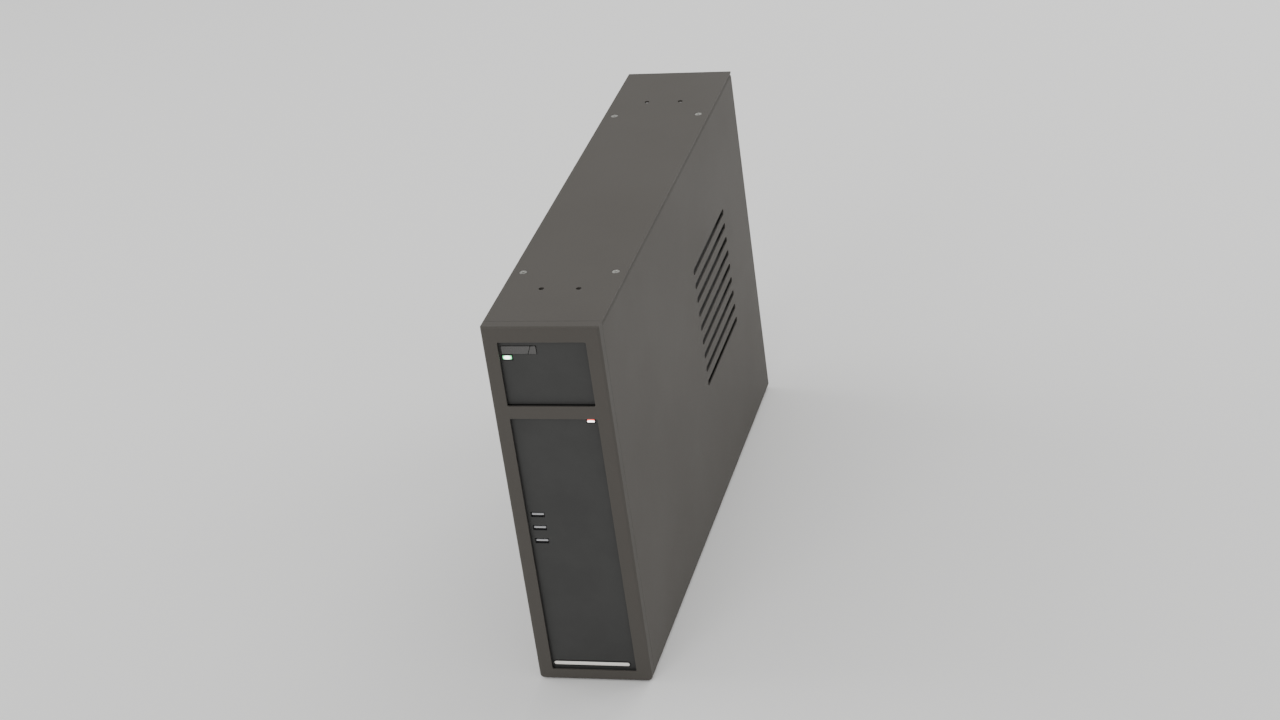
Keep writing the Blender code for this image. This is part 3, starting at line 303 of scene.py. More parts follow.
panel_plastic = moulded("panel_plastic", (49, 49, 48), 0.02 * MM, 0.62)
# The computer's front is dark plastic, made near black so that the gap below the upper front panel shows as
# a painted shadow line.
fascia_plastic = moulded("fascia_plastic", (22, 22, 22), 0.02 * MM, 0.6)
key_plastic = moulded("key_plastic", (78, 77, 76), 0.006 * MM, 0.5)
bar_plastic = moulded("bar_plastic", (243, 240, 232), 0.004 * MM, 0.3, paler=1.02)
tongue_plastic = moulded("tongue_plastic", (168, 168, 170), 0.004 * MM, 0.35, paler=1.1)
black_plastic = moulded("black_plastic", (22, 22, 23), 0.015 * MM, 0.5, paler=2.2)
glide_plastic = moulded("glide_plastic", (206, 204, 198), 0.006 * MM, 0.42, paler=1.1)
rubber = moulded("foot_rubber", (28, 28, 28), 0.025 * MM, 0.85, grain_scale=1500)
print("plastics:", panel_plastic.name, fascia_plastic.name, key_plastic.name)

# %% [markdown]
# Metals differ in their grain. Zinc plate is faintly cloudy. Rolled steel and drawn aluminium show
# fine lines along the way they were rolled or drawn, so their noise is stretched in that direction.


# %% Metals
def metal(name, rgb, roughness, grain, stretch=(1, 1, 1), cloud=0.12):
    """Bare metal: cloudy in colour, with the grain's lines in its roughness and its bumps."""
    made = Finish(name)
    lines = made.noise(grain, 3, stretch)
    return made.set(
        Base_Color=made.mixed(made.spread(made.noise(60, 4), 0.0, 1.0), shade(*rgb, 1 - cloud), shade(*rgb)),
        Metallic=1.0,
        Roughness=made.spread(lines, roughness - 0.08, roughness + 0.1),
        Normal=made.bumps(lines, 0.003 * MM),
    )


zinc_plate = metal("zinc_plate", (160, 160, 155), 0.38, 900, cloud=0.16)
rolled_steel = metal("rolled_steel", (146, 146, 144), 0.38, 1900, (0.03, 1, 1), cloud=0.06)
dark_nickel = metal("dark_nickel", (70, 70, 72), 0.34, 900, (1, 0.1, 1))
fin_aluminium = metal("fin_aluminium", (190, 192, 194), 0.33, 600, (1, 1, 0.05))
contact_gold = metal("contact_gold", (224, 184, 104), 0.25, 900)
print("metals:", zinc_plate.name, rolled_steel.name, dark_nickel.name)

# %% [markdown]
# Three finishes need their own graphs. A circuit board is green solder mask with copper lines raised
# under it. Closed-cell foam has a skin pitted by its cells, so its bumps are the distances of a
# Voronoi pattern. A light is white-hot about one spot and takes its colour further out.


# %% Board, foam and lights
def board_finish():
    """Green solder mask over copper lines."""
    made = Finish("circuit_board")
    lines = made.node("ShaderNodeTexBrick", Vector=made.place, Scale=220.0, Mortar_Size=0.03)
    for socket, rgb in (("Color1", (24, 74, 46)), ("Color2", (20, 62, 40)), ("Mortar", (60, 116, 70))):
        made.feed(lines.inputs[socket], shade(*rgb))
    return made.set(
        Base_Color=lines.outputs["Color"],
        Roughness=made.spread(made.noise(200, 3), 0.35, 0.45),
        Normal=made.bumps(lines.outputs["Fac"], 0.03 * MM),
    )


def foam_finish():
    """Skinned foam, with a pit over each cell, and painted shade that darkens the colour towards the bottom
    of each pit.
    """
    made = Finish("pad_foam")
    cells = made.node("ShaderNodeTexVoronoi", Vector=made.place, Scale=900.0).outputs["Distance"]
    return made.set(
        # Darker towards the bottom of each pit: painted shade.
        Base_Color=made.mixed(made.spread(cells, 0, 1, 0, 0.6), shade(16, 16, 17), shade(38, 38, 39)),
        Roughness=made.spread(made.noise(120, 4), 0.85, 0.97),
        Normal=made.bumps(cells, 0.15 * MM),
    )


def light_finish(name, node, fringe, core, below, sideways):
    """A lit lens, white-hot round one spot and coloured away from it.

    The distance is counted in half heights and half widths, with the widths times sideways. The spot
    lies below the middle by that share of the lens's height.
    """
    made = Finish(name)
    low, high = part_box(node)
    size = high - low
    spot = (low + high) / 2 - Vector((0, 0, below * size.z))
    shift = made.node("ShaderNodeVectorMath", {"operation": "SUBTRACT"})
    made.feed(shift.inputs[0], made.place)
    made.feed(shift.inputs[1], spot)
    scaled = made.node("ShaderNodeVectorMath", {"operation": "MULTIPLY"})
    made.feed(scaled.inputs[0], shift.outputs["Vector"])
    made.feed(scaled.inputs[1], (sideways * 2 / size.x, 0, 2 / size.z))
    away = made.node("ShaderNodeVectorMath", {"operation": "LENGTH"})
    made.feed(away.inputs[0], scaled.outputs["Vector"])
    distance = away.outputs["Value"]
    glow = made.mixed(made.spread(distance, 0.0, 1.0, 0.56, 0.82), core, fringe)
    return made.set(
        Base_Color=glow,
        Roughness=made.spread(made.noise(200, 3), 0.12, 0.2),
        Emission_Color=glow,
        Emission_Strength=made.spread(distance, 4.5, 1.2, 0.5, 0.82),
    )


board = board_finish()
foam = foam_finish()
GREEN = (0.12, 0.85, 0.3, 1)
PALE_GREEN = (0.86, 1.0, 0.91, 1)
RED = (1.0, 0.04, 0.02, 1)
PALE_RED = (1.0, 0.95, 0.93, 1)
green_glow = light_finish("green_glow", "green_light", GREEN, PALE_GREEN, below=0.0, sideways=1.0)
red_glow = light_finish("red_glow", "red_light", RED, PALE_RED, below=0.36, sideways=0.6)
print("other finishes:", board.name, foam.name, green_glow.name, red_glow.name)

# %% [markdown]
# ## Softened copies of the steel and plastic parts
#
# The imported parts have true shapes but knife-sharp edges, and no real edge is that sharp: a sheared
# sheet has a small burr and paint pulls back from it, and a moulded corner has a radius. The packed
# mesh itself stays as it is. A copy has its loose triangles merged and its flat ones joined into large
# faces, a Bevel modifier rounds the edges, and a Weighted Normal modifier keeps the flats flat.


# %% Softening a part
SHARP = math.radians(32)  # a steeper turn than this is an edge
FLAT = math.radians(0.4)  # faces that turn less than this are one face
CLOSE = 0.002 * MM  # points nearer than this are one point


def ridden(piece, body, nodes=()):
    """Puts a finished piece in the scene, on its body and the nodes it stands for."""
    bpy.context.scene.collection.objects.link(piece)
    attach(piece, body)
    if nodes:
        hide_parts(*nodes)
    return piece


def softened(name, node, radius, body, material):
    """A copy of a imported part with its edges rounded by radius, which stands for that part."""
    mesh = frame["nodes"][node].data.copy()
    mesh.name = name
    bm = bmesh.new()
    bm.from_mesh(mesh)
    bmesh.ops.remove_doubles(bm, verts=bm.verts, dist=CLOSE)
    bmesh.ops.dissolve_limit(bm, angle_limit=FLAT, verts=bm.verts, edges=bm.edges)
    bm.to_mesh(mesh)
    bm.free()
    mesh.materials.clear()
    mesh.materials.append(material)
    mesh.shade_smooth()
    mesh.set_sharp_from_angle(angle=SHARP)
    piece = bpy.data.objects.new(name, mesh)
    rounding = piece.modifiers.new("rounded edges", "BEVEL")
    rounding.width = radius
    rounding.segments = 2
    rounding.limit_method = "ANGLE"
    rounding.angle_limit = SHARP
    rounding.harden_normals = True
    piece.modifiers.new("flat faces", "WEIGHTED_NORMAL").keep_sharp = True
    return ridden(piece, body, [node])


SOFTENED = (  # new name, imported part, edge radius in mm, finish and record slot
    ("sleeve_shell", "shell_wrap", 0.3, sleeve_coat, "sleeve_paint"),
    ("sleeve_front", "front_frame", 0.5, sleeve_coat, "sleeve_paint"),
    ("mounting_plate", "top_plate", 0.3, sleeve_coat, "sleeve_paint"),
    ("computer_front", "pc_fascia", 0.3, fascia_plastic, "fascia_plastic"),
    ("upper_front_panel", "upper_panel", 0.2, panel_plastic, "panel_plastic"),
    ("lower_front_panel", "lower_panel", 0.2, panel_plastic, "panel_plastic"),
    ("computer_tray", "pc_chassis", 0.2, case_coat, "case_paint"),
    ("computer_cover", "pc_cover", 0.2, case_coat, "case_paint"),
    ("supply_case", "power_supply", 0.2, zinc_plate, "zinc"),
    ("inlet_housing", "mains_inlet", 0.3, black_plastic, "black_plastic"),
    ("connector_plate", "io_shield", 0.1, rolled_steel, "steel"),
    ("drive_case", "hard_drive", 0.3, fin_aluminium, "aluminium"),
    ("cooler_fins", "cpu_cooler", 0.1, fin_aluminium, "aluminium"),
)
for name, node, radius, material, slot in SOFTENED:
    body = "sleeve" if slot == "sleeve_paint" else "computer"
    softened(name, node, radius * MM, body, material)
print("softened parts:", len(SOFTENED))

# %% [markdown]
# ## New pieces as nested loops
#
# A closed form can be drawn as loops that nest like the rings of an onion: from the middle of its
# face, over the edge, down the side and in to the middle of its back. Rounded blocks, sockets with a
# mouth, screws and feet are all such forms, so one function turns any stack of loops into a mesh. Each
# loop has its own outline (u, v) and height h, and a facing says which way u, v and h point. Blocks
# with a Bevel modifier would be quicker to write, but have no crowned faces, flared mouths or threads.


# %% Facings and the skin over nested loops
FACING_FRONT = np.array([(1, 0, 0), (0, 0, 1), (0, -1, 0)])
FACING_REAR = np.array([(-1, 0, 0), (0, 0, 1), (0, 1, 0)])
FACING_UP = np.array([(1, 0, 0), (0, 1, 0), (0, 0, 1)])
FACING_DOWN = np.array([(-1, 0, 0), (0, 1, 0), (0, 0, -1)])
FACING_RIGHT = np.array([(0, 1, 0), (0, 0, 1), (1, 0, 0)])
FACING_LEFT = np.array([(0, -1, 0), (0, 0, 1), (-1, 0, 0)])


def skin(loops, place, facing):
    """Points and faces over loops, an array of (loop, point, uvh).

    Neighbouring loops are joined by quads, and the first and the last loop are closed by one face each.
    """
    count, around = loops.shape[:2]
    points = loops.reshape(-1, 3) @ facing + np.array(place)
    here = np.arange((count - 1) * around).reshape(count - 1, around)
    beside = np.roll(here, -1, axis=1)
    quads = np.stack([here, here + around, beside + around, beside], axis=-1).reshape(-1, 4)
    first = list(range(around))
    last = list(range(count * around - 1, (count - 1) * around - 1, -1))
    return points, quads.tolist() + [first, last]


def assembled(name, body, nodes, shells):
    """One piece from several closed shells, each given as its points, its faces and its finish."""
    bm = bmesh.new()
    finishes = []
    for (points, faces), finish in shells:
        if finish not in finishes:
            finishes.append(finish)
        shell = bpy.data.meshes.new(name)
        shell.from_pydata(points, [], faces)
        index = np.full(len(faces), finishes.index(finish), dtype=np.int32)
        shell.polygons.foreach_set("material_index", index)
        bm.from_mesh(shell)
        bpy.data.meshes.remove(shell)
    mesh = bpy.data.meshes.new(name)
    bmesh.ops.recalc_face_normals(bm, faces=bm.faces)
    bm.to_mesh(mesh)
    bm.free()
    for finish in finishes:
        mesh.materials.append(finish)
    mesh.shade_smooth()
    mesh.set_sharp_from_angle(angle=SHARP)
    return ridden(bpy.data.objects.new(name, mesh), body, nodes)


# %% [markdown]
# Most of the small parts start from a rounded rectangle. Its corners are quarter circles about four
# corner points, and its points are then spread evenly along its length, so that a long pad has as many
# points along its sides as it needs.


# %% Rounded outlines
QUARTER = 7  # points on a quarter circle


def outline(half_u, half_v, corner, count=None):
    """A rounded rectangle: four corner points plus a quarter circle each, then spaced evenly if counted."""
    corner = min(corner, half_u, half_v)
    turn = np.linspace(0, np.pi / 2, QUARTER)
    angles = (turn + np.arange(4)[:, None] * np.pi / 2).ravel()
    centres = np.repeat([(1, 1), (-1, 1), (-1, -1), (1, -1)], QUARTER, axis=0)
    loop = centres * (half_u - corner, half_v - corner)
    loop = loop + corner * np.stack([np.cos(angles), np.sin(angles)], axis=1)
    if count is None:
        return loop
    closed = np.vstack([loop, loop[:1]])
    along = np.concatenate([[0], np.cumsum(np.linalg.norm(np.diff(closed, axis=0), axis=1))])
    wanted = np.linspace(0, along[-1], count, endpoint=False)
    return np.stack([np.interp(wanted, along, closed[:, axis]) for axis in (0, 1)], axis=1)


def stacked(loops, heights):
    """Loops of (u, v) with their heights as one array of (loop, point, uvh)."""
    loops = np.array(loops)
    level = np.broadcast_to(np.array(heights)[:, None, None], loops.shape[:2] + (1,))
    return np.concatenate([loops, level], axis=2)


def span(low, high, facing):
    """The middle, the half sizes along u and v, and the depth along h of a box seen along a facing."""
    size = np.abs(facing @ (np.array(high) - np.array(low)))
    return (np.array(high) + np.array(low)) / 2, size[0] / 2, size[1] / 2, size[2]


EDGE_LOOPS = 5  # over a block's rounded edge
FACE_SHARES = np.linspace(0.15, 1, 6)  # sizes of the loops on its face, from the middle out


def crowned_block(low, high, facing, corner, edge, crown, count=None):
    """A block that fills a box, with a rounded edge all round its face and a face that rises to its middle.

    Going in from the side, the face's height follows a quarter circle of radius edge, then a parabola
    that rises by crown. The back is flat, with a small chamfer.
    """
    centre, half_u, half_v, depth = span(low, high, facing)
    shoulder = depth / 2 - crown - edge
    face = outline(half_u - edge, half_v - edge, corner, count)
    loops = [face * share for share in FACE_SHARES]
    heights = list(shoulder + edge + crown * (1 - FACE_SHARES**2))
    for angle in np.linspace(np.pi / 2, 0, EDGE_LOOPS)[1:]:
        inset = edge * (1 - math.cos(angle))
        loops.append(outline(half_u - inset, half_v - inset, corner + edge, count))
        heights.append(shoulder + edge * math.sin(angle))
    back_edge = min(edge, depth / 4)
    for inset, height in ((0, back_edge - depth / 2), (back_edge, -depth / 2)):
        loops.append(outline(half_u - inset, half_v - inset, corner + edge, count))
        heights.append(height)
    return skin(stacked(loops, heights), centre, facing)


# %% [markdown]
# ## Foam pads and bumpers
#
# Four long pads of closed-cell foam keep the computer off the sleeve's sides, and a thin strip behind
# each side of the front frame is what it stops against. They are cut from sheet and pressed into
# place, so each is a low crowned strip with soft edges whose face ripples very slightly along its
# length. A cloth simulation could puff them up, but sheet foam keeps its thickness and hardly gives,
# so a formula is truer here.


# %% Foam
RIPPLE_LENGTH = 37 * MM
STRIP_POINTS = 160  # round a strip's outline


def millimetres(low, high):
    """A box's size in millimetres, for printing."""
    return [round(side / MM, 1) for side in high - low]


def foam_strip(name, node, facing, corner, edge, crown, ripple):
    """A crowned strip whose face also sinks and rises along its length, as a sine times ripple."""
    low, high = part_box(node)
    points, faces = crowned_block(low, high, facing, corner, edge, crown, STRIP_POINTS)
    centre, _, _, depth = span(low, high, facing)
    outward = (points - centre) @ facing[2]
    along = np.argmax(np.array(high) - np.array(low))
    wave = np.sin(points[:, along] * 2 * np.pi / RIPPLE_LENGTH) - 1
    on_face = np.clip(outward / (depth / 2), 0, 1) ** 3
    points = points + (ripple * wave * on_face)[:, None] * facing[2]
    piece = assembled(name, "sleeve", [node], [((points, faces), foam)])
    return piece


PAD = (2 * MM, 1.2 * MM, 0.5 * MM, 0.12 * MM)  # corner, edge, crown and ripple
BUMPER = (1 * MM, 0.3 * MM, 0.1 * MM, 0.03 * MM)
for side, facing in (("left", FACING_RIGHT), ("right", FACING_LEFT)):
    for row in ("upper", "lower"):
        foam_strip(f"foam_pad_{side}_{row}", f"side_pad_{side}_{row}", facing, *PAD)
    foam_strip(f"bumper_{side}", f"front_bumper_{side}", FACING_REAR, *BUMPER)

# %% [markdown]
# ## Glides and feet
#
# The computer's four rubber feet run on two smooth plastic strips. Both are crowned blocks: a foot's
# outline is so round that it is a disc.

# %% Glides and feet
for side in ("left", "right"):
    low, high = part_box(f"floor_glide_{side}")
    shell = crowned_block(low, high, FACING_UP, corner=2 * MM, edge=0.7 * MM, crown=0.15 * MM)
    assembled(f"glide_{side}", "sleeve", [f"floor_glide_{side}"], [(shell, glide_plastic)])
for number in range(1, 5):
    low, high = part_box(f"pc_foot_{number}")
    shell = crowned_block(low, high, FACING_DOWN, corner=high.x - low.x, edge=0.5 * MM, crown=0.2 * MM)
    assembled(f"foot_{number}", "computer", [f"pc_foot_{number}"], [(shell, rubber)])
print("foot in mm:", millimetres(low, high))

# %% [markdown]
# ## Boxes with a mouth
#
# A port or a light's holder is a box that is open at its face. As nested loops it starts at the middle
# of the floor inside, runs out to the inner wall, up to the mouth, over the lip, down the outside and
# in to the middle of the back. A little flare at the mouth guides a plug in. A Boolean could cut the
# hollow out of a block, but would leave the lip without its small edge and flare.


# %% Mouths
LEAST_CORNER = 0.1 * MM
FLARE_LENGTH = 0.6 * MM


def mouth_box(low, high, facing, corner, wall, flare, floor_depth):
    """An open box: the inner wall widens by flare along the last stretch before the mouth."""
    centre, half_u, half_v, depth = span(low, high, facing)
    top = depth / 2
    lip = min(0.3 * wall, 0.1 * MM)
    start = top - min(FLARE_LENGTH, floor_depth / 2)
    rows = (  # the outline's scale, its inset and its height
        (0.2, wall, top - floor_depth),
        (1.0, wall, top - floor_depth),
        (1.0, wall, start),
        (1.0, wall - flare, top - lip),
        (1.0, wall - flare - lip, top),
        (1.0, lip, top),
        (1.0, 0, top - lip),
        (1.0, 0, -top),
        (0.2, 0, -top),
    )
    loops = []
    for scale, inset, _ in rows:
        rounding = max(corner - inset, LEAST_CORNER)
        loops.append(outline(half_u - inset, half_v - inset, rounding) * scale)
    return skin(stacked(loops, [height for _, _, height in rows]), centre, facing)


def inner_block(centre, size, facing, edge=0.15 * MM, corner=0.2 * MM):
    """A small block with rounded edges about a point, with its face along facing."""
    half = np.array(size) / 2
    return crowned_block(np.array(centre) - half, np.array(centre) + half, facing, corner, edge, crown=0)


# %% [markdown]
# ## Bar, lights and front ports
#
# The pale bar at the foot of the computer's front is a snapped-in moulding with round ends, and each
# light is a lens. Both sit in a thin black holder, which draws a dark line round them. Each port is a
# dark nickel shell. What catches the eye in it is the pale tongue, a thin bar that fills its width,
# with four gold contacts on its underside.

# %% Bar
BAR_RIM = 0.9 * MM
BAR_PROUD = 0.6 * MM  # of its holder
HOLDER_BACK = 0.4 * MM  # behind the bar
low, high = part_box("trim_bar")
holder_low = low + Vector((0, BAR_PROUD, 0))
round_end = high.z - low.z
holder = mouth_box(holder_low, high, FACING_FRONT, round_end, BAR_RIM, flare=0, floor_depth=0.4 * MM)
bar_low = low + Vector((BAR_RIM, 0, BAR_RIM))
bar_high = high - Vector((BAR_RIM, HOLDER_BACK, BAR_RIM))
bar = crowned_block(bar_low, bar_high, FACING_FRONT, round_end, edge=0.5 * MM, crown=0.2 * MM)
shells = [(bar, bar_plastic), (holder, black_plastic)]
assembled("front_bar", "computer", ["trim_bar"], shells)
print("front bar in mm:", millimetres(bar_low, bar_high))

# %% Lights
BEZEL = 0.8 * MM
for name, node, glow, slot in (
    ("power_light", "green_light", green_glow, "green_lens"),
    ("drive_light", "red_light", red_glow, "red_lens"),
):
    low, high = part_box(node)
    holder = mouth_box(low, high, FACING_FRONT, 0.9 * MM, BEZEL, flare=0.1 * MM, floor_depth=0.9 * MM)
    lens_low = low + Vector((BEZEL, 0, BEZEL))
    lens_high = high - Vector((BEZEL, (high.y - low.y) / 2, BEZEL))
    lens = crowned_block(lens_low, lens_high, FACING_FRONT, 0.5 * MM, edge=0.25 * MM, crown=0.15 * MM)
    assembled(name, "computer", [node], [(holder, black_plastic), (lens, glow)])
    print(name, "lens in mm:", millimetres(lens_low, lens_high))

# %% Front ports
PORT_WALL = 0.4 * MM
PORT_FLOOR = 1 * MM
TONGUE = np.array((11.6 * MM, 8.6 * MM, 1.9 * MM))
TONGUE_INSET = 0.9 * MM  # from the mouth
CONTACT = (1.1 * MM, 6.5 * MM, 0.25 * MM)
CONTACT_SHIFT = 0.4 * MM  # from the tongue's middle towards the mouth
CONTACT_STEP = 2.2 * MM
for number in range(1, 4):
    low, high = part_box(f"usb_port_{number}")
    floor_depth = high.y - low.y - PORT_FLOOR
    port = mouth_box(low, high, FACING_FRONT, 0.7 * MM, PORT_WALL, 0.15 * MM, floor_depth)
    centre = np.array((low + high) / 2)
    centre[1] = low.y + TONGUE_INSET + TONGUE[1] / 2
    shells = [(port, dark_nickel), (inner_block(centre, TONGUE, FACING_FRONT), tongue_plastic)]
    for step in (-1.5, -0.5, 0.5, 1.5):
        at = centre + (step * CONTACT_STEP, -CONTACT_SHIFT, -TONGUE[2] / 2)
        shells.append((inner_block(at, CONTACT, FACING_DOWN, 0.05 * MM), contact_gold))
    assembled(f"front_port_{number}", "computer", [f"usb_port_{number}"], shells)
print("front ports in mm:", millimetres(low, high))

# %% [markdown]
# ## The two front keys
#
# The grey strip above the green light is two keys, whose ends meet along a leaning gap. Their caps
# have fine ribs that lean more and more towards that gap, and give a fingertip some grip. A key is a
# rounded section carried along X: the section slides sideways with its height, fully at the leaning
# end and not at all at the square end, and the ribs are a wave in how far its front stands out. A row
# of separate ribs on a block would look the same, but each would have to be leaned by itself.


# %% Keys
LEAN = 1.6 * MM  # how far the leaning end shifts from middle height to top
RIB_PITCH = 1.9 * MM
RIB_DEPTH = 0.22 * MM
RIB_POINTS = 8  # in one rib's wave
RIB_MARGIN = 1.2 * MM  # from the key's ends to the ribs
RIB_INSET = 1 * MM  # from its top and bottom to the ribs
RIB_FRONT = 0.9  # the ribs' part of the section lies beyond this share of its half depth
KEY_EDGE = 0.4 * MM
KEY_RIM = np.array([0.0, 0.12, 0.45, 1.0]) * KEY_EDGE  # where the sections on an end's edge are
KEY_CORNER = 0.5 * MM
KEY_POINTS = 72  # round a key's section
FACING_ALONG = np.array([(0, 0, 1), (0, -1, 0), (1, 0, 0)])


def ribbed_key(node, lean_end):
    """A rounded section carried along X, whose x also grows with its height.

    It grows by the lean, times how far from the square end to the leaning end the section is. The
    section shrinks as a quarter circle at both ends, and its front goes in by the ribs' wave.
    """
    low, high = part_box(node)
    left = low.x + (LEAN if lean_end < 0 else 0)
    right = high.x - (LEAN if lean_end > 0 else 0)
    half_h, half_d = (high.z - low.z) / 2, (high.y - low.y) / 2
    ribbed = right - left - 2 * RIB_MARGIN
    ribs = max(1, round(ribbed / RIB_PITCH))
    phase = np.linspace(0, ribs, ribs * RIB_POINTS + 1)
    rib_place = left + RIB_MARGIN + phase * ribbed / ribs
    place = np.concatenate([left + KEY_RIM, rib_place, right - KEY_RIM[::-1]])
    wave = np.concatenate([KEY_RIM * 0, 0.5 - 0.5 * np.cos(phase * 2 * np.pi), KEY_RIM * 0])
    from_end = np.minimum(np.minimum(place - left, right - place) / KEY_EDGE, 1)
    inset = KEY_EDGE * (1 - np.sqrt(1 - (1 - from_end) ** 2))
    section = outline(half_h, half_d, KEY_CORNER, KEY_POINTS)
    height = section[:, 0] * (1 - inset / half_h)[:, None]
    outward = section[:, 1] * (1 - inset / half_d)[:, None]
    on_front = (outward > RIB_FRONT * half_d) & (np.abs(height) < half_h - RIB_INSET)
    outward = outward - RIB_DEPTH * wave[:, None] * on_front
    reach = (place - left if lean_end > 0 else right - place) / (right - left)
    across = place[:, None] + LEAN * reach[:, None] * height / half_h
    loops = np.stack([height, outward, across], axis=2)[::-1]
    return skin(loops, (0, (low.y + high.y) / 2, (low.z + high.z) / 2), FACING_ALONG)


for name, node, lean_end in (("power_key", "power_button", 1), ("reset_key", "reset_button", -1)):
    assembled(name, node, [node], [(ribbed_key(node, lean_end), key_plastic)])
print("ribs are", RIB_PITCH / MM, "mm apart")

# %% [markdown]
# ## Screws
#
# A screw's head is a height field in polar form: the height at a radius and an angle drops where the
# point lies in one of the two crossing grooves. Its shank is a ring whose radius also depends on the
# angle, so that the crest climbs one pitch in each turn and a real thread appears. A thumbscrew's head
# is knurled in the same way, with a radius that ripples with the angle. Blender's Screw modifier can
# wind a thread too, but here the head and the thread are one skin, with nothing to join.


# %% Screws and nuts
THREAD_PITCH = 0.7 * MM
THREAD_STEP = 0.1 * MM  # from ring to ring along a shank
TIP_LENGTH = 0.4 * MM
TIP_SHARE = 0.7  # of the shank's radius
INNERMOST = 0.03  # the innermost ring's share of a head's radius
KNURL_DEPTH = 0.04  # of the radius
KNURL_REACH = 0.3 * MM  # rings this near the outside are knurled
ARM_SLOPE = 0.25  # of a cross's half width, where its floor rises to the head
END_SLOPE = 0.3  # of its length, where its floor rises to the head


def turned_loops(radii, heights, count, thread=None):
    """Rings of those radii and heights, and of count points.

    A thread is given as its depth and the height that it stops at: the radius falls with the distance
    from the crest, and the crest climbs by one pitch in each turn.
    """
    angles = np.linspace(0, 2 * np.pi, count, endpoint=False)
    radius = np.repeat(np.array(radii)[:, None], count, axis=1)
    level = np.repeat(np.array(heights)[:, None], count, axis=1)
    if thread is not None:
        depth, top = thread
        phase = (level / THREAD_PITCH - angles / (2 * np.pi)) % 1
        radius = radius - np.where(level < top, depth * np.abs(2 * phase - 1), 0)
    return np.stack([radius * np.cos(angles), radius * np.sin(angles), level], axis=2)


def knurled(loops, chosen, ridges):
    """Ripples the radius of the chosen rings, as a cosine of the angle with that many ridges."""
    angles = np.linspace(0, 2 * np.pi, loops.shape[1], endpoint=False)
    ripple = 1 + KNURL_DEPTH * chosen[:, None] * np.cos(ridges * angles)
    return np.concatenate([loops[..., :2] * ripple[..., None], loops[..., 2:]], axis=2)


def crossed(loops, arm, length, depth, top):
    """Sinks a cross into the rings at height top.

    The drop is the depth, times how far a point is inside an arm's sides and inside the arms' ends.
    """
    u, v, level = loops[..., 0], loops[..., 1], loops[..., 2]
    side = np.clip((arm - np.minimum(np.abs(u), np.abs(v))) / (ARM_SLOPE * arm), 0, 1)
    end = np.clip((length - np.hypot(u, v)) / (END_SLOPE * length), 0, 1)
    sunk = np.where(level > top - 0.01 * MM, depth * side * end, 0)
    return np.stack([u, v, level - sunk], axis=2)


SHANK_SHARE = 2 / 3.6  # of the head's radius
HEAD_CHAMFER = 0.15 * MM
PLAIN_SHANK = 0.5 * MM  # between the head and the thread


def countersunk_screw(low, high):
    """A flat head with a cross, a cone under it and a threaded shank, from its top down."""
    head = (high.x - low.x) / 2
    top = (high.z - low.z) / 2
    shank = head * SHANK_SHARE
    face = np.linspace(INNERMOST, 1, 14) * (head - HEAD_CHAMFER)
    cone_foot = top - (head - shank)
    rows = np.arange(cone_foot, TIP_LENGTH - top, -THREAD_STEP)
    radii = np.concatenate([face, [head], np.full(len(rows), shank), [shank * TIP_SHARE]])
    heights = np.concatenate([np.full(len(face), top), [top - HEAD_CHAMFER], rows, [-top]])
    loops = turned_loops(radii, heights, 48, thread=(0.3 * MM, cone_foot - PLAIN_SHANK))
    return crossed(loops, arm=0.55 * MM, length=0.62 * head, depth=1.1 * MM, top=top)


for number in range(1, 5):
    low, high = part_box(f"top_screw_{number}")
    shell = skin(countersunk_screw(low, high), (low + high) / 2, FACING_UP)
    assembled(f"plate_screw_{number}", "sleeve", [f"top_screw_{number}"], [(shell, zinc_plate)])
print("plate screws in mm:", millimetres(low, high))

# %% [markdown]
# The clinch nuts sit under the sleeve's top flanges. Each is a ring with a knurled collar that bites
# into the sheet. A ring has no poles, so its loops run round the section instead: down the outside and
# up the bore, and the last loop joins the first.


# %% Clinch nuts
def ring_skin(loops, place, facing):
    """Points and quads over loops whose last one joins the first, as on a ring."""
    count, around = loops.shape[:2]
    points = loops.reshape(-1, 3) @ facing + np.array(place)
    here = np.arange(count * around).reshape(count, around)
    below = np.roll(here, -1, axis=0)
    quads = np.stack([here, below, np.roll(below, -1, axis=1), np.roll(here, -1, axis=1)], axis=-1)
    return points, quads.reshape(-1, 4).tolist()


KNURLS = 18
BORE = 2.3 * MM
NUT_POINTS = 72  # in a ring
NUT_ROWS = (  # how many mm from the bore or the outside, and from the top or the bottom
    ("bore", 0.3, "top", 0),
    ("outside", 0.5, "top", 0),
    ("outside", 0.2, "top", 0.2),
    ("outside", 0.2, "top", 1.0),
    ("outside", 0.35, "top", 1.1),
    ("outside", 0.35, "bottom", 0.3),
    ("outside", 0.6, "bottom", 0),
    ("bore", 0.3, "bottom", 0),
    ("bore", 0, "bottom", 0.3),
    ("bore", 0, "top", 0.3),
)
for number in range(1, 5):
    low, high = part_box(f"clinch_nut_{number}")
    outer, half = (high.x - low.x) / 2, (high.z - low.z) / 2
    radii = np.array([BORE + r * MM if side == "bore" else outer - r * MM for side, r, _, _ in NUT_ROWS])
    heights = np.array([half - h * MM if end == "top" else h * MM - half for _, _, end, h in NUT_ROWS])
    collar = (radii > outer - KNURL_REACH) & (heights < half)
    loops = knurled(turned_loops(radii, heights, NUT_POINTS), collar, KNURLS)
    shell = ring_skin(loops, (low + high) / 2, FACING_UP)
    assembled(f"flange_nut_{number}", "sleeve", [f"clinch_nut_{number}"], [(shell, zinc_plate)])
print("flange nuts in mm:", millimetres(low, high))

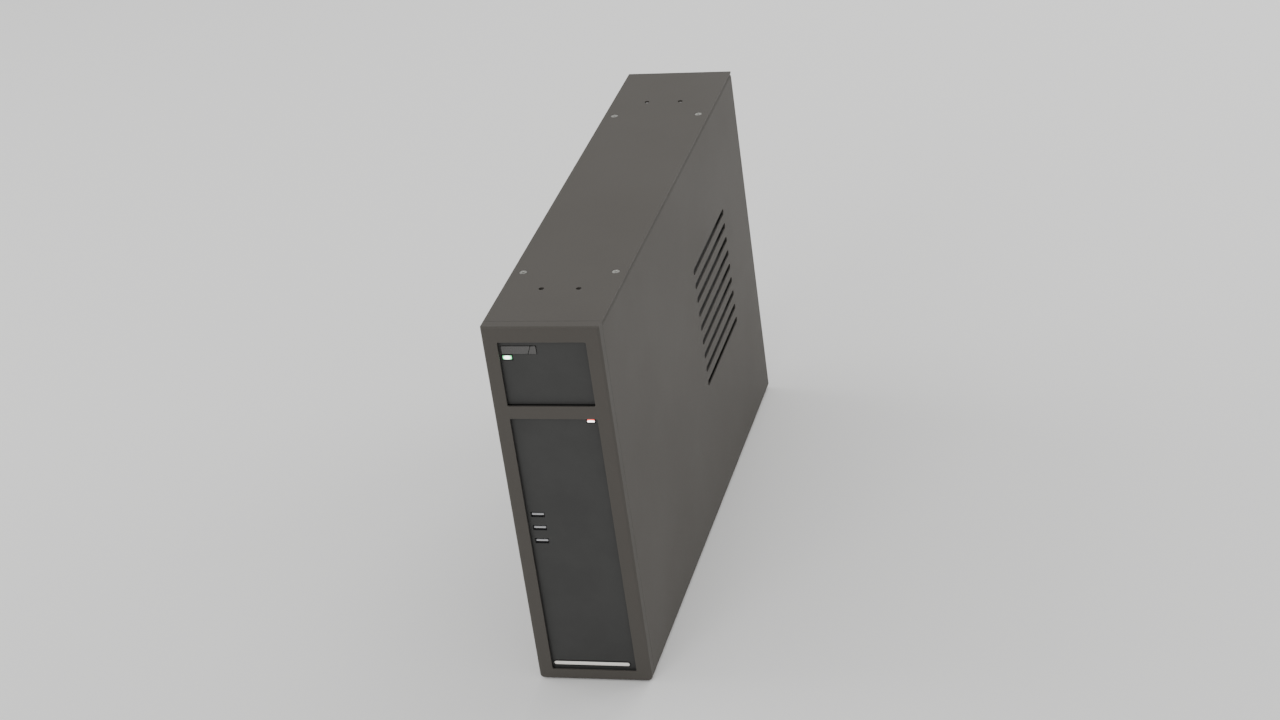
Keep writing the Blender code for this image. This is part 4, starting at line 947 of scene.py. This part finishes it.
# %% Thumbscrews
HEAD_H = 6 * MM
HEAD_DISH = 0.4 * MM
HEAD_WALL = 1.4 * MM  # round the dish
THUMB_SHANK = 1.75 * MM
THUMB_KNURLS = 30
RIM_INSETS = np.array([1.1, 0.5, 0.2, 0.2, 0.6]) * MM  # of the rim's rings, from the head's radius
for number in range(1, 3):
    low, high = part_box(f"cover_thumbscrew_{number}")
    head, half = (high.x - low.x) / 2, (high.y - low.y) / 2
    seat, dish = half - HEAD_H, half - HEAD_DISH
    face = np.linspace(INNERMOST, 1, 12) * (head - HEAD_WALL)
    rim_heights = [half, half, dish, seat + HEAD_DISH, seat]
    shank = np.arange(seat, TIP_LENGTH - half, -THREAD_STEP)
    tip = THUMB_SHANK * TIP_SHARE
    radii = np.concatenate([face, head - RIM_INSETS, np.full(len(shank), THUMB_SHANK), [tip]])
    heights = np.concatenate([np.full(len(face), dish), rim_heights, shank, [-half]])
    loops = turned_loops(radii, heights, THUMB_KNURLS * 4, thread=(0.25 * MM, seat - PLAIN_SHANK))
    loops = knurled(loops, radii > head - KNURL_REACH, THUMB_KNURLS)
    loops = crossed(loops, arm=0.7 * MM, length=0.55 * head, depth=1.2 * MM, top=dish)
    shell = skin(loops, (low + high) / 2, FACING_REAR)
    nodes = [f"cover_thumbscrew_{number}"]
    assembled(f"thumbscrew_{number}", "computer", nodes, [(shell, zinc_plate)])
print("thumbscrews in mm:", millimetres(low, high))

# %% [markdown]
# ## The rear of the computer
#
# Seen from behind, the computer is a plain case back: a power supply with its fan's grille and mains
# inlet, a plate of sockets, and three blanking covers. The sockets are boxes with a mouth, like the
# front ports, and each gets what is inside it: a tongue, or a row of sprung contacts. A blanking
# cover is the same box with a very shallow hollow, which stands for its pressed panel.


# %% Rear sockets
SOCKET_CORNER = 0.8 * MM
SOCKET_WALL = 0.8 * MM
SOCKET_FLARE = 0.2 * MM
SOCKET_BACK = 3 * MM


def socket(node, inner):
    """A socket's shell from its packed box, with its inner blocks.

    An inner block is given as its middle and its size in mm, its facing and its finish. Its middle is
    counted from the middle of the socket's mouth.
    """
    low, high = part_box(node)
    floor_depth = high.y - low.y - SOCKET_BACK
    shell = mouth_box(low, high, FACING_REAR, SOCKET_CORNER, SOCKET_WALL, SOCKET_FLARE, floor_depth)
    shells = [(shell, rolled_steel)]
    mouth = np.array(((low.x + high.x) / 2, high.y, (low.z + high.z) / 2))
    for place, size, facing, finish in inner:
        block = inner_block(mouth + np.array(place) * MM, np.array(size) * MM, facing, 0.06 * MM, 0.1 * MM)
        shells.append((block, finish))
    return assembled(node + "_shell", "computer", [node], shells)


inside = [((-0.6, -8, 0), (2.8, 13.6, 24), FACING_REAR, black_plastic)]
for z in np.arange(-9, 9.1, 2):
    inside.append(((0.9, -7.5, z), (0.2, 12, 0.7), FACING_RIGHT, contact_gold))
socket("video_socket", inside)

inside = [((0, -8, 0), (14.4, 14, 0.9), FACING_REAR, rolled_steel)]
for z in (-3.3, 3.3):
    inside.append(((0, -8.5, z + 0.8), (11.6, 12.6, 1.7), FACING_REAR, black_plastic))
    for x in (-3.6, -1.2, 1.2, 3.6):
        inside.append(((x, -7.5, z - 0.08), (1.1, 9, 0.2), FACING_DOWN, contact_gold))
socket("rear_usb_upper", inside)
socket("rear_usb_lower", inside)

inside = [((0, -12.8, 0), (12.2, 4, 14.2), FACING_REAR, black_plastic)]
for x in np.arange(-3.57, 3.6, 1.02):
    inside.append(((x, -6.5, 3.2), (0.35, 8.5, 0.35), FACING_DOWN, contact_gold))
for x in (-4.9, 4.9):
    inside.append(((x, -6.8, -3.6), (2.2, 11, 6.6), FACING_REAR, black_plastic))
socket("network_socket", inside)

# %% Blanking covers and inlet blades
COVER_RIM = 4.5 * MM
COVER_SUNK = 0.35 * MM
for number in range(1, 4):
    low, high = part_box(f"slot_cover_{number}")
    plate = mouth_box(low, high, FACING_REAR, 1 * MM, COVER_RIM, flare=0.4 * MM, floor_depth=COVER_SUNK)
    assembled(f"blank_{number}", "computer", [f"slot_cover_{number}"], [(plate, rolled_steel)])
    low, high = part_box(f"inlet_pin_{number}")
    blade = crowned_block(low, high, FACING_REAR, corner=0.5 * MM, edge=0.45 * MM, crown=0.2 * MM)
    assembled(f"inlet_blade_{number}", "computer", [f"inlet_pin_{number}"], [(blade, zinc_plate)])

# %% [markdown]
# ## Fans
#
# A fan's blade is a thin curved section carried from the tip to the hub. On the way its pitch grows
# steeper and its place swings back, so the blade is twisted and swept as a moulded one is. Each point
# is laid on the cylinder of its radius, which makes the ends of the blade round. A flat blade that a
# modifier twists would be simpler, but its tip wouldn't follow the fan's round opening.


# %% Fan rotors
BLADES = 7
BLADE_STATIONS = 12  # sections from tip to hub
BLADE_POINTS = 20  # round a section
BLADE_HALF_T = 0.6 * MM
HUB_CHORD = 0.36  # of the fan's radius
CHORD_GAIN = 0.2  # of the fan's radius, from hub to tip
HUB_PITCH = 44  # in degrees
PITCH_LOSS = 16  # in degrees, from hub to tip
SWEEP = 0.45  # in radians, from hub to tip
BLADE_CAMBER = 0.07  # of the chord
BLADE_ROOT = 1 * MM  # inside the hub
BLADE_CLEAR = 0.8 * MM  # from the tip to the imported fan's radius
BLADE_INSET = 0.3 * MM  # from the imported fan's faces
HUB_SHARE = 0.38  # of the radius
HUB_POINTS = 48
HUB_DISH = 0.4 * MM
HUB_EDGE = 0.6 * MM


def fan_blade(radius, hub, depth, start):
    """Sections at falling radii: chord, pitch and sweep are each a straight line from hub to tip."""
    way = np.linspace(1, 0, BLADE_STATIONS)[:, None]
    turn = np.linspace(0, 2 * np.pi, BLADE_POINTS, endpoint=False)[None, :]
    root, tip = hub - BLADE_ROOT, radius - BLADE_CLEAR
    at = root + way * (tip - root)
    chord = radius * (HUB_CHORD + CHORD_GAIN * way)
    pitch = np.radians(HUB_PITCH - PITCH_LOSS * way)
    sweep = start + SWEEP * way
    along = chord * np.cos(turn) / 2
    across = BLADE_HALF_T * np.sin(turn) + BLADE_CAMBER * chord * (1 - np.cos(turn) ** 2)
    angle = sweep + (along * np.cos(pitch) - across * np.sin(pitch)) / at
    rise = along * np.sin(pitch) + across * np.cos(pitch)
    rise = np.clip(rise, BLADE_INSET - depth / 2, depth / 2 - BLADE_INSET)
    return np.stack([at * np.cos(angle), at * np.sin(angle), rise], axis=2)


def fan_rotor(name, joint, facing):
    """A hub with a dished face, and its blades, about the joint's own axis."""
    low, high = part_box(name)
    hinge = next(row for row in frame["joints"] if row["name"] == joint)
    centre = np.array(hinge["pos_m"])
    corners = np.array([low, high]) - centre
    depth = np.ptp(corners @ facing[2])
    radius = np.abs(corners @ facing[:2].T).max()
    hub = radius * HUB_SHARE
    top = depth / 2
    rows = (  # share of the hub's radius, and height
        (0.05, top - HUB_DISH),
        (0.3, top - HUB_DISH),
        (0.55, top - HUB_DISH),
        (0.6, top),
        (0.9, top),
        (1.0, top - HUB_EDGE),
        (1.0, -top),
        (0.2, -top),
    )
    shares, heights = np.array(rows).T
    shells = [(skin(turned_loops(shares * hub, heights, HUB_POINTS), centre, facing), black_plastic)]
    for number in range(BLADES):
        blade = fan_blade(radius, hub, depth, number * 2 * math.pi / BLADES)
        shells.append((skin(blade, centre, facing), black_plastic))
    print(name, "radius in mm:", round(radius / MM, 1))
    return assembled(name + "_rotor", name, [name], shells)


fan_rotor("psu_fan", "psu_fan_spin", FACING_REAR)
fan_rotor("cpu_fan", "cpu_fan_spin", FACING_RIGHT)

# %% [markdown]
# ## Boards and what is left
#
# The main board, the memory and the little board behind the front ports are flat plates whose packed
# shape is already right. They keep it and take the board's finish.

# %% Boards
for node in ("main_board", "memory_module", "front_io_board"):
    plate = frame["nodes"][node]
    for slot in plate.material_slots:
        slot.material = board
    print(node, "has", len(plate.material_slots), "finish")

# %% Sizes and the end
low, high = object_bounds()
print("grown by, in mm:", [round((b - a) / MM, 2) for a, b in zip(cad_high - cad_low, high - low)])
